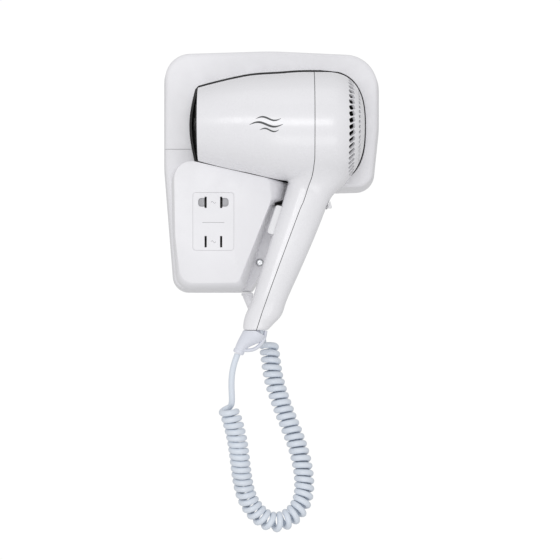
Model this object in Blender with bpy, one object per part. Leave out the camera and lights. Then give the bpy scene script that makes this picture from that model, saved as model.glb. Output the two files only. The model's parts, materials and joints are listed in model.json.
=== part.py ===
"""Wall-mounted hair dryer docked in its holder, with a shaver socket and a curly cord.

World axes: +X to the right, +Z up, +Y into the wall. The origin is on the holder's flat back face,
at the middle of its width and height. All sizes below are in millimetres and all angles in degrees;
make_object turns them into metres.
"""

import math

import bmesh
import bpy
from mathutils import Matrix, Vector

MM = 0.001

# ---------------------------------------------------------------- driving dimensions
# Gap left between pieces that touch or are cut by each other.
TOUCH_GAP = 0.3
# Clearance round a piece that slides or turns in a window of its housing.
RUN_GAP = 0.6

# Handset barrel: its axis runs along X, and its back stays clear of the wall.
BARREL_RADIUS = 44.7
BARREL_BACK_DEPTH = 19.3
AXIS_FROM_WALL = BARREL_BACK_DEPTH + BARREL_RADIUS
AXIS_HEIGHT = 34.0
NOSE_RADIUS = 29.9
NOSE_X = -59.6
NOSE_RISE = 2.1
NOSE_TAPER = 1.65
SHOULDER_X = 28.0
DOME_START_X = 42.0
DOME_FULLNESS = 2.7
REAR_X = 76.3
BARREL_WALL = 2.2
SEAM_X = 35.0
DOCK_GAP = 0.9
CRADLE_GAP = 2.2
LIFT_ROOM = 2.1

# Holder: an upper tray that holds the barrel and a lower box with the shaver socket.
HOLDER_WIDTH = 183.0
RIM_ABOVE_BARREL = 23.3
RIM_BELOW_BARREL = 7.3
HOLDER_TOP = AXIS_HEIGHT + BARREL_RADIUS + RIM_ABOVE_BARREL
HOLDER_BOTTOM = -102.0
TRAY_DEPTH = 38.0
TRAY_UNDERSIDE = AXIS_HEIGHT - BARREL_RADIUS - RIM_BELOW_BARREL
SOCKET_BOX_DEPTH = 62.0
CHANNEL_DEPTH = 26.0
COVER_WALL = 2.2
COVER_DRAFT = 3.0
COVER_EDGE_ROUND = 3.4
COVER_SEAM_HEIGHT = 17.7
WALL_PLATE_THICKNESS = 2.5
LINER_WALL = 1.5
LINER_FLOOR_DEPTH = 13.0

# Intake slots round the rear dome.
SLOT_COUNT = 36
SLOT_WIDTH = 4.0
SLOT_X = 63.4
SLOT_LENGTH = 5.2
SLOT_START_RADIUS = 25.0

# Handle: its outline is a loft of level sections, (height, left x, right x, half depth).
HANDLE_SECTIONS = (
    (14.0, 21.0, 56.0, 14.0),
    (-9.0, 14.8, 57.9, 17.0),
    (-26.5, 9.7, 47.6, 16.5),
    (-55.0, 0.7, 35.9, 15.5),
    (-80.5, -7.5, 24.9, 15.0),
    (-106.6, -15.5, 13.2, 14.5),
    (-119.5, -21.0, 8.6, 12.5),
    (-127.0, -22.8, 2.0, 10.5),
    (-132.0, -22.9, -2.8, 9.5),
)
HANDLE_SQUARENESS = 2.4
CORD_HOLE_RADIUS = 4.4

# Front paddle, on the inner side of the handle, held down to run the dryer.
PADDLE_TOP = -31.0
PADDLE_LENGTH = 24.0
PADDLE_WIDTH = 12.0
PADDLE_PROUD = 4.6
PADDLE_DEPTH = 3.4

# Thumb slide, on the outer side of the handle, for the heat.
THUMB_TOP = -26.5
THUMB_LENGTH = 10.0
THUMB_CREST = 4.4
THUMB_FOOT = 0.9
THUMB_WIDTH = 10.0
THUMB_PROUD = 3.0
THUMB_TRAVEL = 6.0
THUMB_STEM = 4.0

# Air path inside the barrel.
GRILLE_RADIUS = 26.8
GRILLE_BULGE = 3.6
GRILLE_BARS = 8
HEAT_TUBE_RADIUS = 26.0
HEAT_TUBE_WALL = 0.8
HEAT_TUBE_FRONT_X = NOSE_X + 8.7
HEAT_TUBE_LENGTH = 54.0
MICA_RADIUS = 18.5
MICA_THICKNESS = 0.8
HEATER_TURNS = 6
HEATER_WIRE_RADIUS = 0.8
MOTOR_RADIUS = 14.0
MOTOR_LENGTH = 26.0
MOTOR_FRONT_X = 12.0
SHAFT_RADIUS = 1.2
FAN_RADIUS = 37.0
FAN_BLADES = 7
FAN_DEPTH = 11.0
HOLDER_VANES = 5

# Shaver socket panel in the face of the lower box.
PANEL_LEFT = -64.1
PANEL_WIDTH = 33.5
PANEL_TOP = -19.5
PANEL_HEIGHT = 47.3
PANEL_THICKNESS = 2.2
PANEL_CORNER_RADIUS = 2.5
PIN_PITCH = 12.7
PIN_SLOT_WIDTH = 1.8
PIN_SLOT_HEIGHT = 9.3
UPPER_SOCKET_DROP = 8.0
LOWER_SOCKET_DROP = 40.2
ROUND_PIN_REACH = 5.4
ROUND_PIN_HEIGHT = 7.2
SOCKET_BODY_DEPTH = 14.0
TERMINAL_PLACE = (-50.0, -79.0)

# Screws.
SCREW_HEAD_RADIUS = 3.0
SCREW_HEAD_HEIGHT = 2.0
SCREW_HEAD_SINK = 0.8
SCREW_SHANK_RADIUS = 1.4
BOSS_RADIUS = 4.0
CHANNEL_SCREW_PLACE = (-9.8, -76.5)
POST_RADIUS = 2.6
WALL_SCREW_PLACES = ((-60.0, 78.0), (60.0, 78.0), (-50.0, -88.0))
WALL_SCREW_HOLE_RADIUS = 2.6
LINER_SCREW_PLACES = ((-40.0, 36.0), (50.0, 36.0))
HANDLE_SCREW_HEIGHTS = (-70.0, -108.0)

# Cord: round cable wound into a curl.
CORD_RADIUS = 2.5
CURL_RADIUS = 8.5
BASE_GLAND_PLACE = (-20.4, -13.0)
BASE_GLAND_LENGTH = 22.0

# Routes of the cord, chosen by hand: down from the handle, round the curl's loop, up to the holder.
HANDSET_LEAD_ROUTE = (
    (-27.5, -AXIS_FROM_WALL, -151.6),
    (-30.4, -AXIS_FROM_WALL, -160.0),
    (-32.8, -AXIS_FROM_WALL, -169.5),
    (-34.8, -AXIS_FROM_WALL + 0.1, -177.5),
)
# Each point of the curl: x, share of the way from the holder's gland to the handset's axis, height.
CURL_POINTS = (
    (-36.2, 0.9882, -189.2),
    (-35.0, 0.9804, -197.0),
    (-31.6, 0.9667, -207.0),
    (-28.6, 0.9471, -219.0),
    (-26.6, 0.9216, -231.0),
    (-25.2, 0.8961, -243.0),
    (-23.6, 0.8667, -255.0),
    (-20.9, 0.8353, -267.0),
    (-15.6, 0.8039, -278.0),
    (-7.2, 0.7647, -286.8),
    (3.0, 0.7255, -290.9),
    (13.8, 0.6784, -288.3),
    (22.2, 0.6353, -280.6),
    (26.6, 0.5922, -269.6),
    (27.2, 0.5529, -256.5),
    (24.9, 0.5137, -241.0),
    (20.6, 0.4745, -226.0),
    (15.2, 0.4353, -211.8),
    (9.6, 0.3961, -197.6),
    (4.8, 0.3569, -183.8),
    (1.2, 0.3176, -170.0),
    (-0.8, 0.2784, -156.0),
    (-2.6, 0.2353, -145.0),
    (-5.2, 0.1882, -138.4),
)
CURL_ROUTE = [(x, BASE_GLAND_PLACE[1] - share * (AXIS_FROM_WALL + BASE_GLAND_PLACE[1]), z)
              for x, share, z in CURL_POINTS]
LEAD_RUN_IN = 5.5


# ---------------------------------------------------------------- meshes and objects
def clear_scene():
    """Removes every object of the scene that the script starts in."""
    for existing in list(bpy.data.objects):
        bpy.data.objects.remove(existing, do_unlink=True)


def make_material(name, color, roughness, metallic=0.0):
    """A Principled material of one colour."""
    material = bpy.data.materials.new(name)
    material.use_nodes = True
    shader = material.node_tree.nodes["Principled BSDF"]
    shader.inputs["Base Color"].default_value = (*color, 1.0)
    shader.inputs["Roughness"].default_value = roughness
    shader.inputs["Metallic"].default_value = metallic
    return material


def make_object(name, shape, material, origin=(0.0, 0.0, 0.0)):
    """Turns a shape in millimetres into a named object in metres, with its origin where it is told."""
    bmesh.ops.translate(shape, vec=-Vector(origin), verts=shape.verts)
    bmesh.ops.scale(shape, vec=(MM, MM, MM), verts=shape.verts)
    mesh = bpy.data.meshes.new(name)
    shape.to_mesh(mesh)
    shape.free()
    mesh.shade_smooth()
    mesh.set_sharp_from_angle(angle=math.radians(32.0))
    placed = bpy.data.objects.new(name, mesh)
    placed.location = Vector(origin) * MM
    mesh.materials.append(material)
    bpy.context.scene.collection.objects.link(placed)
    return placed


def loft(rings, closed=False):
    """A closed solid through rings of equal counts; closed joins the last ring to the first."""
    shape = bmesh.new()
    levels = [[shape.verts.new(point) for point in ring] for ring in rings]
    pairs = list(zip(levels, levels[1:]))
    if closed:
        pairs.append((levels[-1], levels[0]))
    else:
        shape.faces.new(levels[0])
        shape.faces.new(levels[-1])
    for lower, upper in pairs:
        count = len(lower)
        for index in range(count):
            after = (index + 1) % count
            shape.faces.new((lower[index], lower[after], upper[after], upper[index]))
    bmesh.ops.recalc_face_normals(shape, faces=shape.faces)
    return shape


def combine(base, others, operation):
    """The Boolean of one shape with each of the others, which it uses up."""
    holders = []
    for shape in (base, *others):
        mesh = bpy.data.meshes.new("working")
        shape.to_mesh(mesh)
        shape.free()
        holder = bpy.data.objects.new("working", mesh)
        bpy.context.scene.collection.objects.link(holder)
        holders.append(holder)
    for other in holders[1:]:
        modifier = holders[0].modifiers.new("cut", "BOOLEAN")
        modifier.operation = operation
        modifier.solver = "EXACT"
        modifier.object = other
    graph = bpy.context.evaluated_depsgraph_get()
    result = bmesh.new()
    result.from_mesh(holders[0].evaluated_get(graph).to_mesh())
    for holder in holders:
        mesh = holder.data
        bpy.data.objects.remove(holder, do_unlink=True)
        bpy.data.meshes.remove(mesh)
    bmesh.ops.remove_doubles(result, verts=result.verts, dist=0.0005)
    bmesh.ops.dissolve_degenerate(result, edges=result.edges, dist=0.0005)
    return result


def cut(base, *others):
    """base less every other shape."""
    return combine(base, others, "DIFFERENCE")


def join(base, *others):
    """base and every other shape as one body."""
    return combine(base, others, "UNION")


def keep(base, other):
    """The part of base that lies inside the other shape."""
    return combine(base, [other], "INTERSECT")


# ---------------------------------------------------------------- outlines
def rounded(corners, steps=5):
    """A closed outline from (x, z, radius) corners, each corner an arc of the same number of steps."""
    outline = []
    for index, (x, z, radius) in enumerate(corners):
        corner = Vector((x, z))
        back = Vector(corners[index - 1][:2]) - corner
        ahead = Vector(corners[(index + 1) % len(corners)][:2]) - corner
        half_angle = back.angle(ahead) / 2.0
        reach = min(radius / math.tan(half_angle), 0.48 * back.length, 0.48 * ahead.length)
        back.normalize()
        ahead.normalize()
        arc_radius = reach * math.tan(half_angle)
        centre = corner + (back + ahead).normalized() * arc_radius / math.sin(half_angle)
        start = corner + back * reach - centre
        end = corner + ahead * reach - centre
        for step in range(steps + 1):
            outline.append(centre + start.slerp(end, step / steps) * arc_radius)
    return outline


def inset(corners, distance):
    """The same corners moved inwards by a distance, with their radii changed to match."""
    turning = sum(
        Vector((b[0] - a[0], b[1] - a[1])).cross(Vector((c[0] - b[0], c[1] - b[1])))
        for a, b, c in zip(corners[-1:] + corners[:-1], corners, corners[1:] + corners[:1])
    )
    side = 1.0 if turning > 0.0 else -1.0
    moved = []
    for index, (x, z, radius) in enumerate(corners):
        before = Vector((x, z)) - Vector(corners[index - 1][:2])
        after = Vector(corners[(index + 1) % len(corners)][:2]) - Vector((x, z))
        before.normalize()
        after.normalize()
        normals = [Vector((-edge.y, edge.x)) * side for edge in (before, after)]
        mitre = (normals[0] + normals[1]) / (1.0 + normals[0].dot(normals[1]))
        bends_out = before.cross(after) * side > 0.0
        new_radius = radius - distance if bends_out else radius + distance
        moved.append((x + mitre.x * distance, z + mitre.y * distance, max(new_radius, 0.5)))
    return moved


def level_ring(outline, depth):
    """An (x, z) outline placed at a distance in front of the wall."""
    return [(point[0], -depth, point[1]) for point in outline]


def prism(outline, near, far):
    """An (x, z) outline extruded from one distance in front of the wall to another."""
    return loft([level_ring(outline, near), level_ring(outline, far)])


def block(low, high):
    """A box between two opposite corners."""
    outline = ((low[0], low[2]), (high[0], low[2]), (high[0], high[2]), (low[0], high[2]))
    return prism(outline, -low[1], -high[1])


def circle_ring(centre, axis, radius, count):
    """A ring of points round an axis through a centre."""
    turn = Vector((0.0, 0.0, 1.0)).rotation_difference(Vector(axis)).to_matrix()
    spokes = [2.0 * math.pi * index / count for index in range(count)]
    flat = [Vector((math.cos(angle), math.sin(angle), 0.0)) * radius for angle in spokes]
    return [Vector(centre) + turn @ point for point in flat]


def turned(base, axis, profile, count=16, closed=False):
    """A solid turned about an axis: the profile is (distance along the axis, radius) pairs."""
    axis = Vector(axis).normalized()
    rings = [circle_ring(Vector(base) + axis * along, axis, radius, count) for along, radius in profile]
    return loft(rings, closed)


def rod(start, end, radius, count=12):
    """A plain round bar between two points."""
    start = Vector(start)
    axis = Vector(end) - start
    return turned(start, axis, ((0.0, radius), (axis.length, radius)), count)


def smooth_route(points, spacing):
    """Evenly spaced points on a smooth curve through the route's own points."""
    route = [Vector(point) for point in points]
    ends = [route[0] * 2.0 - route[1]] + route + [route[-1] * 2.0 - route[-2]]
    fine = []
    for a, b, c, d in zip(ends, ends[1:], ends[2:], ends[3:]):
        for step in range(12):
            t = step / 12.0
            fine.append(
                0.5 * (2.0 * b + (c - a) * t + (2.0 * a - 5.0 * b + 4.0 * c - d) * t**2
                       + (3.0 * b - a - 3.0 * c + d) * t**3)
            )
    fine.append(route[-1])
    length = sum((b - a).length for a, b in zip(fine, fine[1:]))
    count = max(3, round(length / spacing))
    placed = [fine[0]]
    walked = 0.0
    for a, b in zip(fine, fine[1:]):
        stretch = (b - a).length
        while len(placed) < count and walked + stretch >= length * len(placed) / count:
            share = (length * len(placed) / count - walked) / stretch
            placed.append(a.lerp(b, share))
        walked += stretch
    return placed + [fine[-1]]


def make_cord(name, points, radius, spacing, sides, material):
    """A round cord as a curve object with filled caps."""
    curve = bpy.data.curves.new(name, "CURVE")
    curve.dimensions = "3D"
    curve.bevel_depth = radius * MM
    curve.bevel_resolution = sides
    curve.use_fill_caps = True
    spline = curve.splines.new("POLY")
    placed = smooth_route(points, spacing)
    spline.points.add(len(placed) - 1)
    for target, point in zip(spline.points, placed):
        target.co = (*(point * MM), 1.0)
    cord = bpy.data.objects.new(name, curve)
    curve.materials.append(material)
    bpy.context.scene.collection.objects.link(cord)
    return cord


# ---------------------------------------------------------------- shape of the barrel and handle
def smoothstep(value):
    """Eases from 0 to 1."""
    value = min(max(value, 0.0), 1.0)
    return value * value * (3.0 - 2.0 * value)


def barrel_radius(x, less=0.0):
    """Radius of the barrel's outside at x, less a wall."""
    if x <= SHOULDER_X:
        share = (SHOULDER_X - x) / (SHOULDER_X - NOSE_X)
        return BARREL_RADIUS - (BARREL_RADIUS - NOSE_RADIUS) * share**NOSE_TAPER - less
    if x <= DOME_START_X:
        return BARREL_RADIUS - less
    share = min((x - DOME_START_X) / (REAR_X - less - DOME_START_X), 1.0)
    return (BARREL_RADIUS - less) * (1.0 - share**DOME_FULLNESS) ** (1.0 / DOME_FULLNESS)


def barrel_centre(x):
    """Height of the barrel's centre line at x: the nose rises a little."""
    return AXIS_HEIGHT + NOSE_RISE * smoothstep((12.0 - x) / 34.0)


def barrel_solid(less=0.0, start=NOSE_X):
    """The barrel's full outer shape, less a wall."""
    front = [start + (SHOULDER_X - start) * step / 7.0 for step in range(8)]
    dome_length = REAR_X - less - DOME_START_X
    angles = (0, 24, 42, 56, 68, 78, 85)
    dome = [DOME_START_X + dome_length * math.sin(math.radians(angle)) for angle in angles]
    rings = []
    for x in front + [SEAM_X] + dome:
        centre = (x, -AXIS_FROM_WALL, barrel_centre(x))
        rings.append(circle_ring(centre, (1.0, 0.0, 0.0), barrel_radius(x, less), 32))
    return loft(rings)


def handle_ring(height, left, right, half_depth, less=0.0):
    """One level section of the handle, between an ellipse and a rectangle."""
    middle = (left + right) / 2.0
    ring = []
    for index in range(20):
        angle = 2.0 * math.pi * index / 20
        across = math.copysign(abs(math.cos(angle)) ** (2.0 / HANDLE_SQUARENESS), math.cos(angle))
        deep = math.copysign(abs(math.sin(angle)) ** (2.0 / HANDLE_SQUARENESS), math.sin(angle))
        x = middle + across * ((right - left) / 2.0 - less)
        ring.append((x, -AXIS_FROM_WALL + deep * (half_depth - less), height))
    return ring


def handle_solid(less=0.0):
    """The handle's outer shape, less a wall at its sides and its lower end."""
    rings = []
    last = len(HANDLE_SECTIONS) - 1
    for index, (height, left, right, half_depth) in enumerate(HANDLE_SECTIONS):
        lift = less if index == last else 0.0
        rings.append(handle_ring(height + lift, left, right, half_depth, less))
    return loft(rings)


def handle_span(height):
    """Left and right x of the handle at a height."""
    for upper, lower in zip(HANDLE_SECTIONS, HANDLE_SECTIONS[1:]):
        if lower[0] <= height <= upper[0]:
            share = (upper[0] - height) / (upper[0] - lower[0])
            return tuple(upper[i] + (lower[i] - upper[i]) * share for i in (1, 2))
    raise ValueError(f"no handle at height {height}")


def side_frame(height, length, side):
    """A straight frame on one side of the handle: top point, direction down it, and outward direction."""
    top = Vector((handle_span(height)[side], 0.0, height))
    low = Vector((handle_span(height - length)[side], 0.0, height - length))
    down = (low - top).normalized()
    outward = Vector((down.z, 0.0, -down.x)) if side == 0 else Vector((-down.z, 0.0, down.x))
    top.y = -AXIS_FROM_WALL
    return top, down, outward


def sloped_block(frame, along, out, half_width):
    """A box in a side frame: along and out are (from, to) ranges."""
    top, down, outward = frame
    corners = [top + down * a + outward * b for a, b in
               ((along[0], out[0]), (along[1], out[0]), (along[1], out[1]), (along[0], out[1]))]
    rings = [[point + Vector((0.0, y, 0.0)) for point in corners] for y in (-half_width, half_width)]
    return loft(rings)


# ---------------------------------------------------------------- shape of the holder
def holder_corners():
    """Corners of the holder's back outline, clockwise from the top left."""
    left = -HOLDER_WIDTH / 2.0
    right = HOLDER_WIDTH / 2.0
    return [
        (left, HOLDER_TOP - 2.2, 24.0),
        (0.0, HOLDER_TOP + 0.6, 300.0),
        (right, HOLDER_TOP - 3.6, 30.0),
        (right, 36.0, 90.0),
        (right - 5.5, TRAY_UNDERSIDE + 1.5, 16.0),
        (36.0, TRAY_UNDERSIDE, 6.0),
        (-16.5, HOLDER_BOTTOM, 5.0),
        (left + 8.3, HOLDER_BOTTOM, 14.0),
        (left, 2.0, 150.0),
    ]


def socket_box_corners():
    """Corners of the lower box at its foot, from the top left; its top edge follows the barrel."""
    left = -HOLDER_WIDTH / 2.0
    rise = [barrel_centre(x) - barrel_radius(x) - DOCK_GAP for x in (NOSE_X, 8.0)]
    slope = (rise[1] - rise[0]) / (8.0 - NOSE_X)
    top_left = left + 8.3
    top_right = 14.4
    return [
        (top_left, rise[0] + slope * (top_left - NOSE_X), 18.0),
        (top_right, rise[0] + slope * (top_right - NOSE_X), 2.5),
        (top_right - 3.6, -24.6, 3.0),
        (1.6, -26.6, 4.0),
        (-22.0, HOLDER_BOTTOM + 3.0, 4.0),
        (left + 13.0, HOLDER_BOTTOM + 2.0, 13.0),
        (left + 9.6, -55.0, 60.0),
    ]


def socket_face_corners():
    """Corners of the lower box's flat face, matching those of its foot."""
    foot = socket_box_corners()
    inward = ((3.6, -2.4, 14.0), (-17.0, 2.9, 5.0), (-11.4, 0.4, 7.0), (-3.9, -5.0, 9.0),
              (-5.0, 6.0, 6.0), (4.6, 6.6, 12.0), (3.4, 0.0, 60.0))
    return [(x + dx, z + dz, radius) for (x, z, _), (dx, dz, radius) in zip(foot, inward)]


def cover_solid(less=0.0, back=TOUCH_GAP):
    """The holder's L-shaped slab with its draft and rounded front edge, less a wall."""
    edge = COVER_EDGE_ROUND
    front = TRAY_DEPTH - less
    levels = ((back, 0.0), (front - edge, COVER_DRAFT), (front - 0.3 * edge, COVER_DRAFT + 0.25 * edge),
              (front, COVER_DRAFT + edge))
    corners = holder_corners()
    return loft([level_ring(rounded(inset(corners, drawn + less)), depth) for depth, drawn in levels])


def socket_box_solid(less=0.0, back=TOUCH_GAP):
    """The raised lower box with rounded shoulders, less a wall."""
    foot = rounded(inset(socket_box_corners(), less))
    face = rounded(inset(socket_face_corners(), less))
    front = SOCKET_BOX_DEPTH - less
    rings = []
    levels = ((back, 0.0), (front - 14.0, 0.12), (front - 6.0, 0.38), (front - 2.0, 0.70), (front, 1.0))
    for depth, share in levels:
        outline = [a.lerp(b, share) for a, b in zip(foot, face)]
        rings.append(level_ring(outline, depth))
    return loft(rings)


def cradle_outline(less=0.0):
    """Outline of the barrel's recess in the tray, less a wall, clockwise from the lower left."""
    foot = socket_box_corners()
    left = NOSE_X - 4.2
    slope = (foot[1][1] - foot[0][1]) / (foot[1][0] - foot[0][0])
    low = foot[0][1] + slope * (left - foot[0][0]) + TOUCH_GAP
    high = barrel_centre(NOSE_X) + NOSE_RADIUS + CRADLE_GAP + LIFT_ROOM
    points = [(left, low)]
    for step in range(1, 8):
        share = step / 8.0
        x = left + 1.4 * share - 5.0 * math.sin(math.pi * share)
        points.append((x, low + (high - low) * share))
    for step in range(9):
        x = NOSE_X - 1.0 + (DOME_START_X - NOSE_X) * step / 8.0
        points.append((x, barrel_centre(x) + barrel_radius(x) + CRADLE_GAP + LIFT_ROOM))
    for angle in (24, 42, 56, 68, 78, 90, 102, 112, 124, 138):
        turn = math.radians(angle)
        x = DOME_START_X + (REAR_X - DOME_START_X) * math.sin(turn)
        across = math.copysign(barrel_radius(x), 90.5 - angle)
        points.append((x + math.sin(turn) * CRADLE_GAP - 0.3,
                       AXIS_HEIGHT + across + math.cos(turn) * CRADLE_GAP + LIFT_ROOM))
    lip = TRAY_UNDERSIDE + 4.5
    bottom = foot[3][1] - 2.9
    points += [(54.0, lip + 4.0), (50.0, lip), (33.5, lip), (23.5, bottom), (foot[3][0] + 1.0, bottom),
               (foot[3][0] + 1.0, foot[3][1] + 0.9), (foot[2][0] + 0.6, foot[2][1] + 0.4),
               (foot[1][0] + 0.9, foot[1][1] - 1.0), (foot[1][0] - 0.4, foot[1][1] + 0.6)]
    return [Vector(corner[:2]) for corner in inset([(x, z, 1.0) for x, z in points], less)]


def channel_outline():
    """Outline of the shallow channel behind the handle, to the right of the lower box."""
    foot = socket_box_corners()
    top = foot[3][1] - 2.3
    return [(foot[3][0] - 2.0, top), (60.0, top), (60.0, -140.0),
            (foot[4][0] - 11.0, -140.0), (foot[4][0] - 2.0, foot[4][1] + 1.0)]


# ---------------------------------------------------------------- holder pieces
def screw(head_centre, direction, length):
    """A round-headed screw; its head's outer face is at head_centre and it runs along direction."""
    crown, tip = SCREW_HEAD_RADIUS * 0.7, SCREW_SHANK_RADIUS * 0.4
    profile = ((0.0, crown), (0.5, SCREW_HEAD_RADIUS), (SCREW_HEAD_HEIGHT, SCREW_HEAD_RADIUS),
               (SCREW_HEAD_HEIGHT + 0.01, SCREW_SHANK_RADIUS), (length - 1.5, SCREW_SHANK_RADIUS),
               (length, tip))
    body = turned(head_centre, direction, profile, 12)
    across = Vector(direction).orthogonal().normalized()
    side = Vector(direction).cross(across)
    middle = Vector(head_centre)
    corners = ((2.0, 0.4), (-2.0, 0.4), (-2.0, -0.4), (2.0, -0.4))
    ring = [across * a + side * b for a, b in corners]
    slot = loft([[middle + point - Vector(direction) for point in ring],
                 [middle + point + Vector(direction) * 0.8 for point in ring]])
    return cut(body, slot)


def post_screw_depths():
    """Where the channel screw's and the liner screws' heads bear, in front of the wall."""
    return CHANNEL_DEPTH, LINER_FLOOR_DEPTH


def make_wall_plate(paint):
    """Flat plate that is screwed to the wall, with posts for the covers' and the liner's screws."""
    rim = COVER_WALL + RUN_GAP + 0.4
    plate = prism(rounded(inset(holder_corners(), rim)), 0.0, WALL_PLATE_THICKNESS)
    channel_depth, liner_depth = post_screw_depths()
    posts = []
    bores = []
    places = [(CHANNEL_SCREW_PLACE, channel_depth - COVER_WALL)] + [
        (place, liner_depth - LINER_WALL) for place in LINER_SCREW_PLACES]
    for (x, z), height in places:
        top = height - TOUCH_GAP
        posts.append(rod((x, -WALL_PLATE_THICKNESS + 0.5, z), (x, -top, z), POST_RADIUS))
        bore = SCREW_SHANK_RADIUS + TOUCH_GAP
        bores.append(rod((x, -WALL_PLATE_THICKNESS + 0.4, z), (x, -top - 1.0, z), bore))
    for x, z in WALL_SCREW_PLACES:
        bores.append(rod((x, 1.0, z), (x, -WALL_PLATE_THICKNESS - 1.0, z), WALL_SCREW_HOLE_RADIUS))
    make_object("wall_plate", cut(join(plate, *posts), *bores), paint)


def upper_region():
    """Clip that keeps the tray cover: above the seam on the left, and right of the lower box."""
    seam = COVER_SEAM_HEIGHT + TOUCH_GAP / 2.0
    top = HOLDER_TOP + 50.0
    outline = ((-150.0, seam), (-150.0, top), (150.0, top), (150.0, -60.0), (40.0, -60.0),
               (33.0, TRAY_UNDERSIDE + 2.0), (33.0, seam))
    return prism(outline, -5.0, SOCKET_BOX_DEPTH + 20.0)


def lower_region():
    """Clip that keeps the socket cover: below the seam and left of the tray's lower right lip."""
    seam = COVER_SEAM_HEIGHT - TOUCH_GAP / 2.0
    right = 33.0 - TOUCH_GAP
    outline = ((-150.0, seam), (-40.0, seam), (-40.0, 12.0), (right, 12.0), (right, TRAY_UNDERSIDE + 2.0),
               (40.0 - TOUCH_GAP, -60.0), (40.0, -150.0), (-150.0, -150.0))
    return prism(outline, -5.0, SOCKET_BOX_DEPTH + 20.0)


def make_tray_cover(paint):
    """Upper cover: a hollow frame round the barrel's recess."""
    cradle = prism(cradle_outline(), -5.0, TRAY_DEPTH + 5.0)
    shell = cut(cover_solid(), cover_solid(COVER_WALL, -5.0))
    make_object("tray_cover", cut(keep(shell, upper_region()), cradle), paint)


def make_socket_cover(paint):
    """Lower cover: the raised socket box, its foot and the channel floor, hollow behind."""
    cradle = prism(cradle_outline(), -5.0, TRAY_DEPTH + 0.01)
    channel = prism(channel_outline(), CHANNEL_DEPTH, SOCKET_BOX_DEPTH + 30.0)
    outer = keep(cut(cover_solid(), channel), lower_region())
    outer = cut(join(outer, socket_box_solid()), cradle)
    channel_room = prism(channel_outline(), CHANNEL_DEPTH - COVER_WALL, SOCKET_BOX_DEPTH + 30.0)
    hollow = join(cut(cover_solid(COVER_WALL, -5.0), channel_room), socket_box_solid(COVER_WALL, -5.0))
    x, z = CHANNEL_SCREW_PLACE
    head_pocket = rod((x, -CHANNEL_DEPTH + SCREW_HEAD_SINK, z), (x, -CHANNEL_DEPTH - 2.0, z),
                      SCREW_HEAD_RADIUS + TOUCH_GAP)
    shank_hole = rod((x, 0.0, z), (x, -CHANNEL_DEPTH - 2.0, z), SCREW_SHANK_RADIUS + TOUCH_GAP)
    front = SOCKET_BOX_DEPTH
    window = prism(panel_outline(-TOUCH_GAP), front - PANEL_THICKNESS - 1.0, front + 2.0)
    make_object("socket_cover", cut(outer, hollow, head_pocket, shank_hole, window), paint)


def make_cradle_liner(paint):
    """Dark tray that lines the barrel's recess: a floor and a wall round it."""
    gap = TOUCH_GAP
    outer = prism(cradle_outline(gap), LINER_FLOOR_DEPTH - LINER_WALL, TRAY_DEPTH - 1.0)
    hollow = prism(cradle_outline(gap + LINER_WALL), LINER_FLOOR_DEPTH, TRAY_DEPTH + 2.0)
    holes = [rod((x, 0.0, z), (x, -LINER_FLOOR_DEPTH - 2.0, z), SCREW_SHANK_RADIUS + TOUCH_GAP)
             for x, z in LINER_SCREW_PLACES]
    make_object("cradle_liner", cut(outer, hollow, *holes), paint)


def make_holder_screws(paint):
    """The screw in the channel and the two under the barrel that hold the liner."""
    x, z = CHANNEL_SCREW_PLACE
    channel_depth, liner_depth = post_screw_depths()
    head = Vector((x, -channel_depth + SCREW_HEAD_SINK - TOUCH_GAP - SCREW_HEAD_HEIGHT, z))
    make_object("channel_screw", screw(head, (0.0, 1.0, 0.0), 18.0), paint)
    for name, (x, z) in zip(("liner_screw_left", "liner_screw_right"), LINER_SCREW_PLACES):
        head = Vector((x, -liner_depth - SCREW_HEAD_HEIGHT - TOUCH_GAP, z))
        make_object(name, screw(head, (0.0, 1.0, 0.0), 11.0), paint)


def panel_outline(less=0.0):
    """Rounded outline of the socket panel, less a gap."""
    low = PANEL_TOP - PANEL_HEIGHT
    right = PANEL_LEFT + PANEL_WIDTH
    places = ((PANEL_LEFT, PANEL_TOP), (right, PANEL_TOP), (right, low), (PANEL_LEFT, low))
    return rounded(inset([(x, z, PANEL_CORNER_RADIUS) for x, z in places], less), 4)


def pin_places():
    """Centre (x, z) of each pin slot: upper left, upper right, lower left, lower right."""
    middle = PANEL_LEFT + PANEL_WIDTH / 2.0
    heights = (PANEL_TOP - UPPER_SOCKET_DROP, PANEL_TOP - LOWER_SOCKET_DROP)
    return [(middle + side * PIN_PITCH / 2.0, height) for height in heights for side in (-1.0, 1.0)]


def pin_hole(place, width, height, near, far):
    """A rectangular hole for one flat pin."""
    x, z = place
    return block((x - width / 2.0, -far, z - height / 2.0), (x + width / 2.0, -near, z + height / 2.0))


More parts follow.
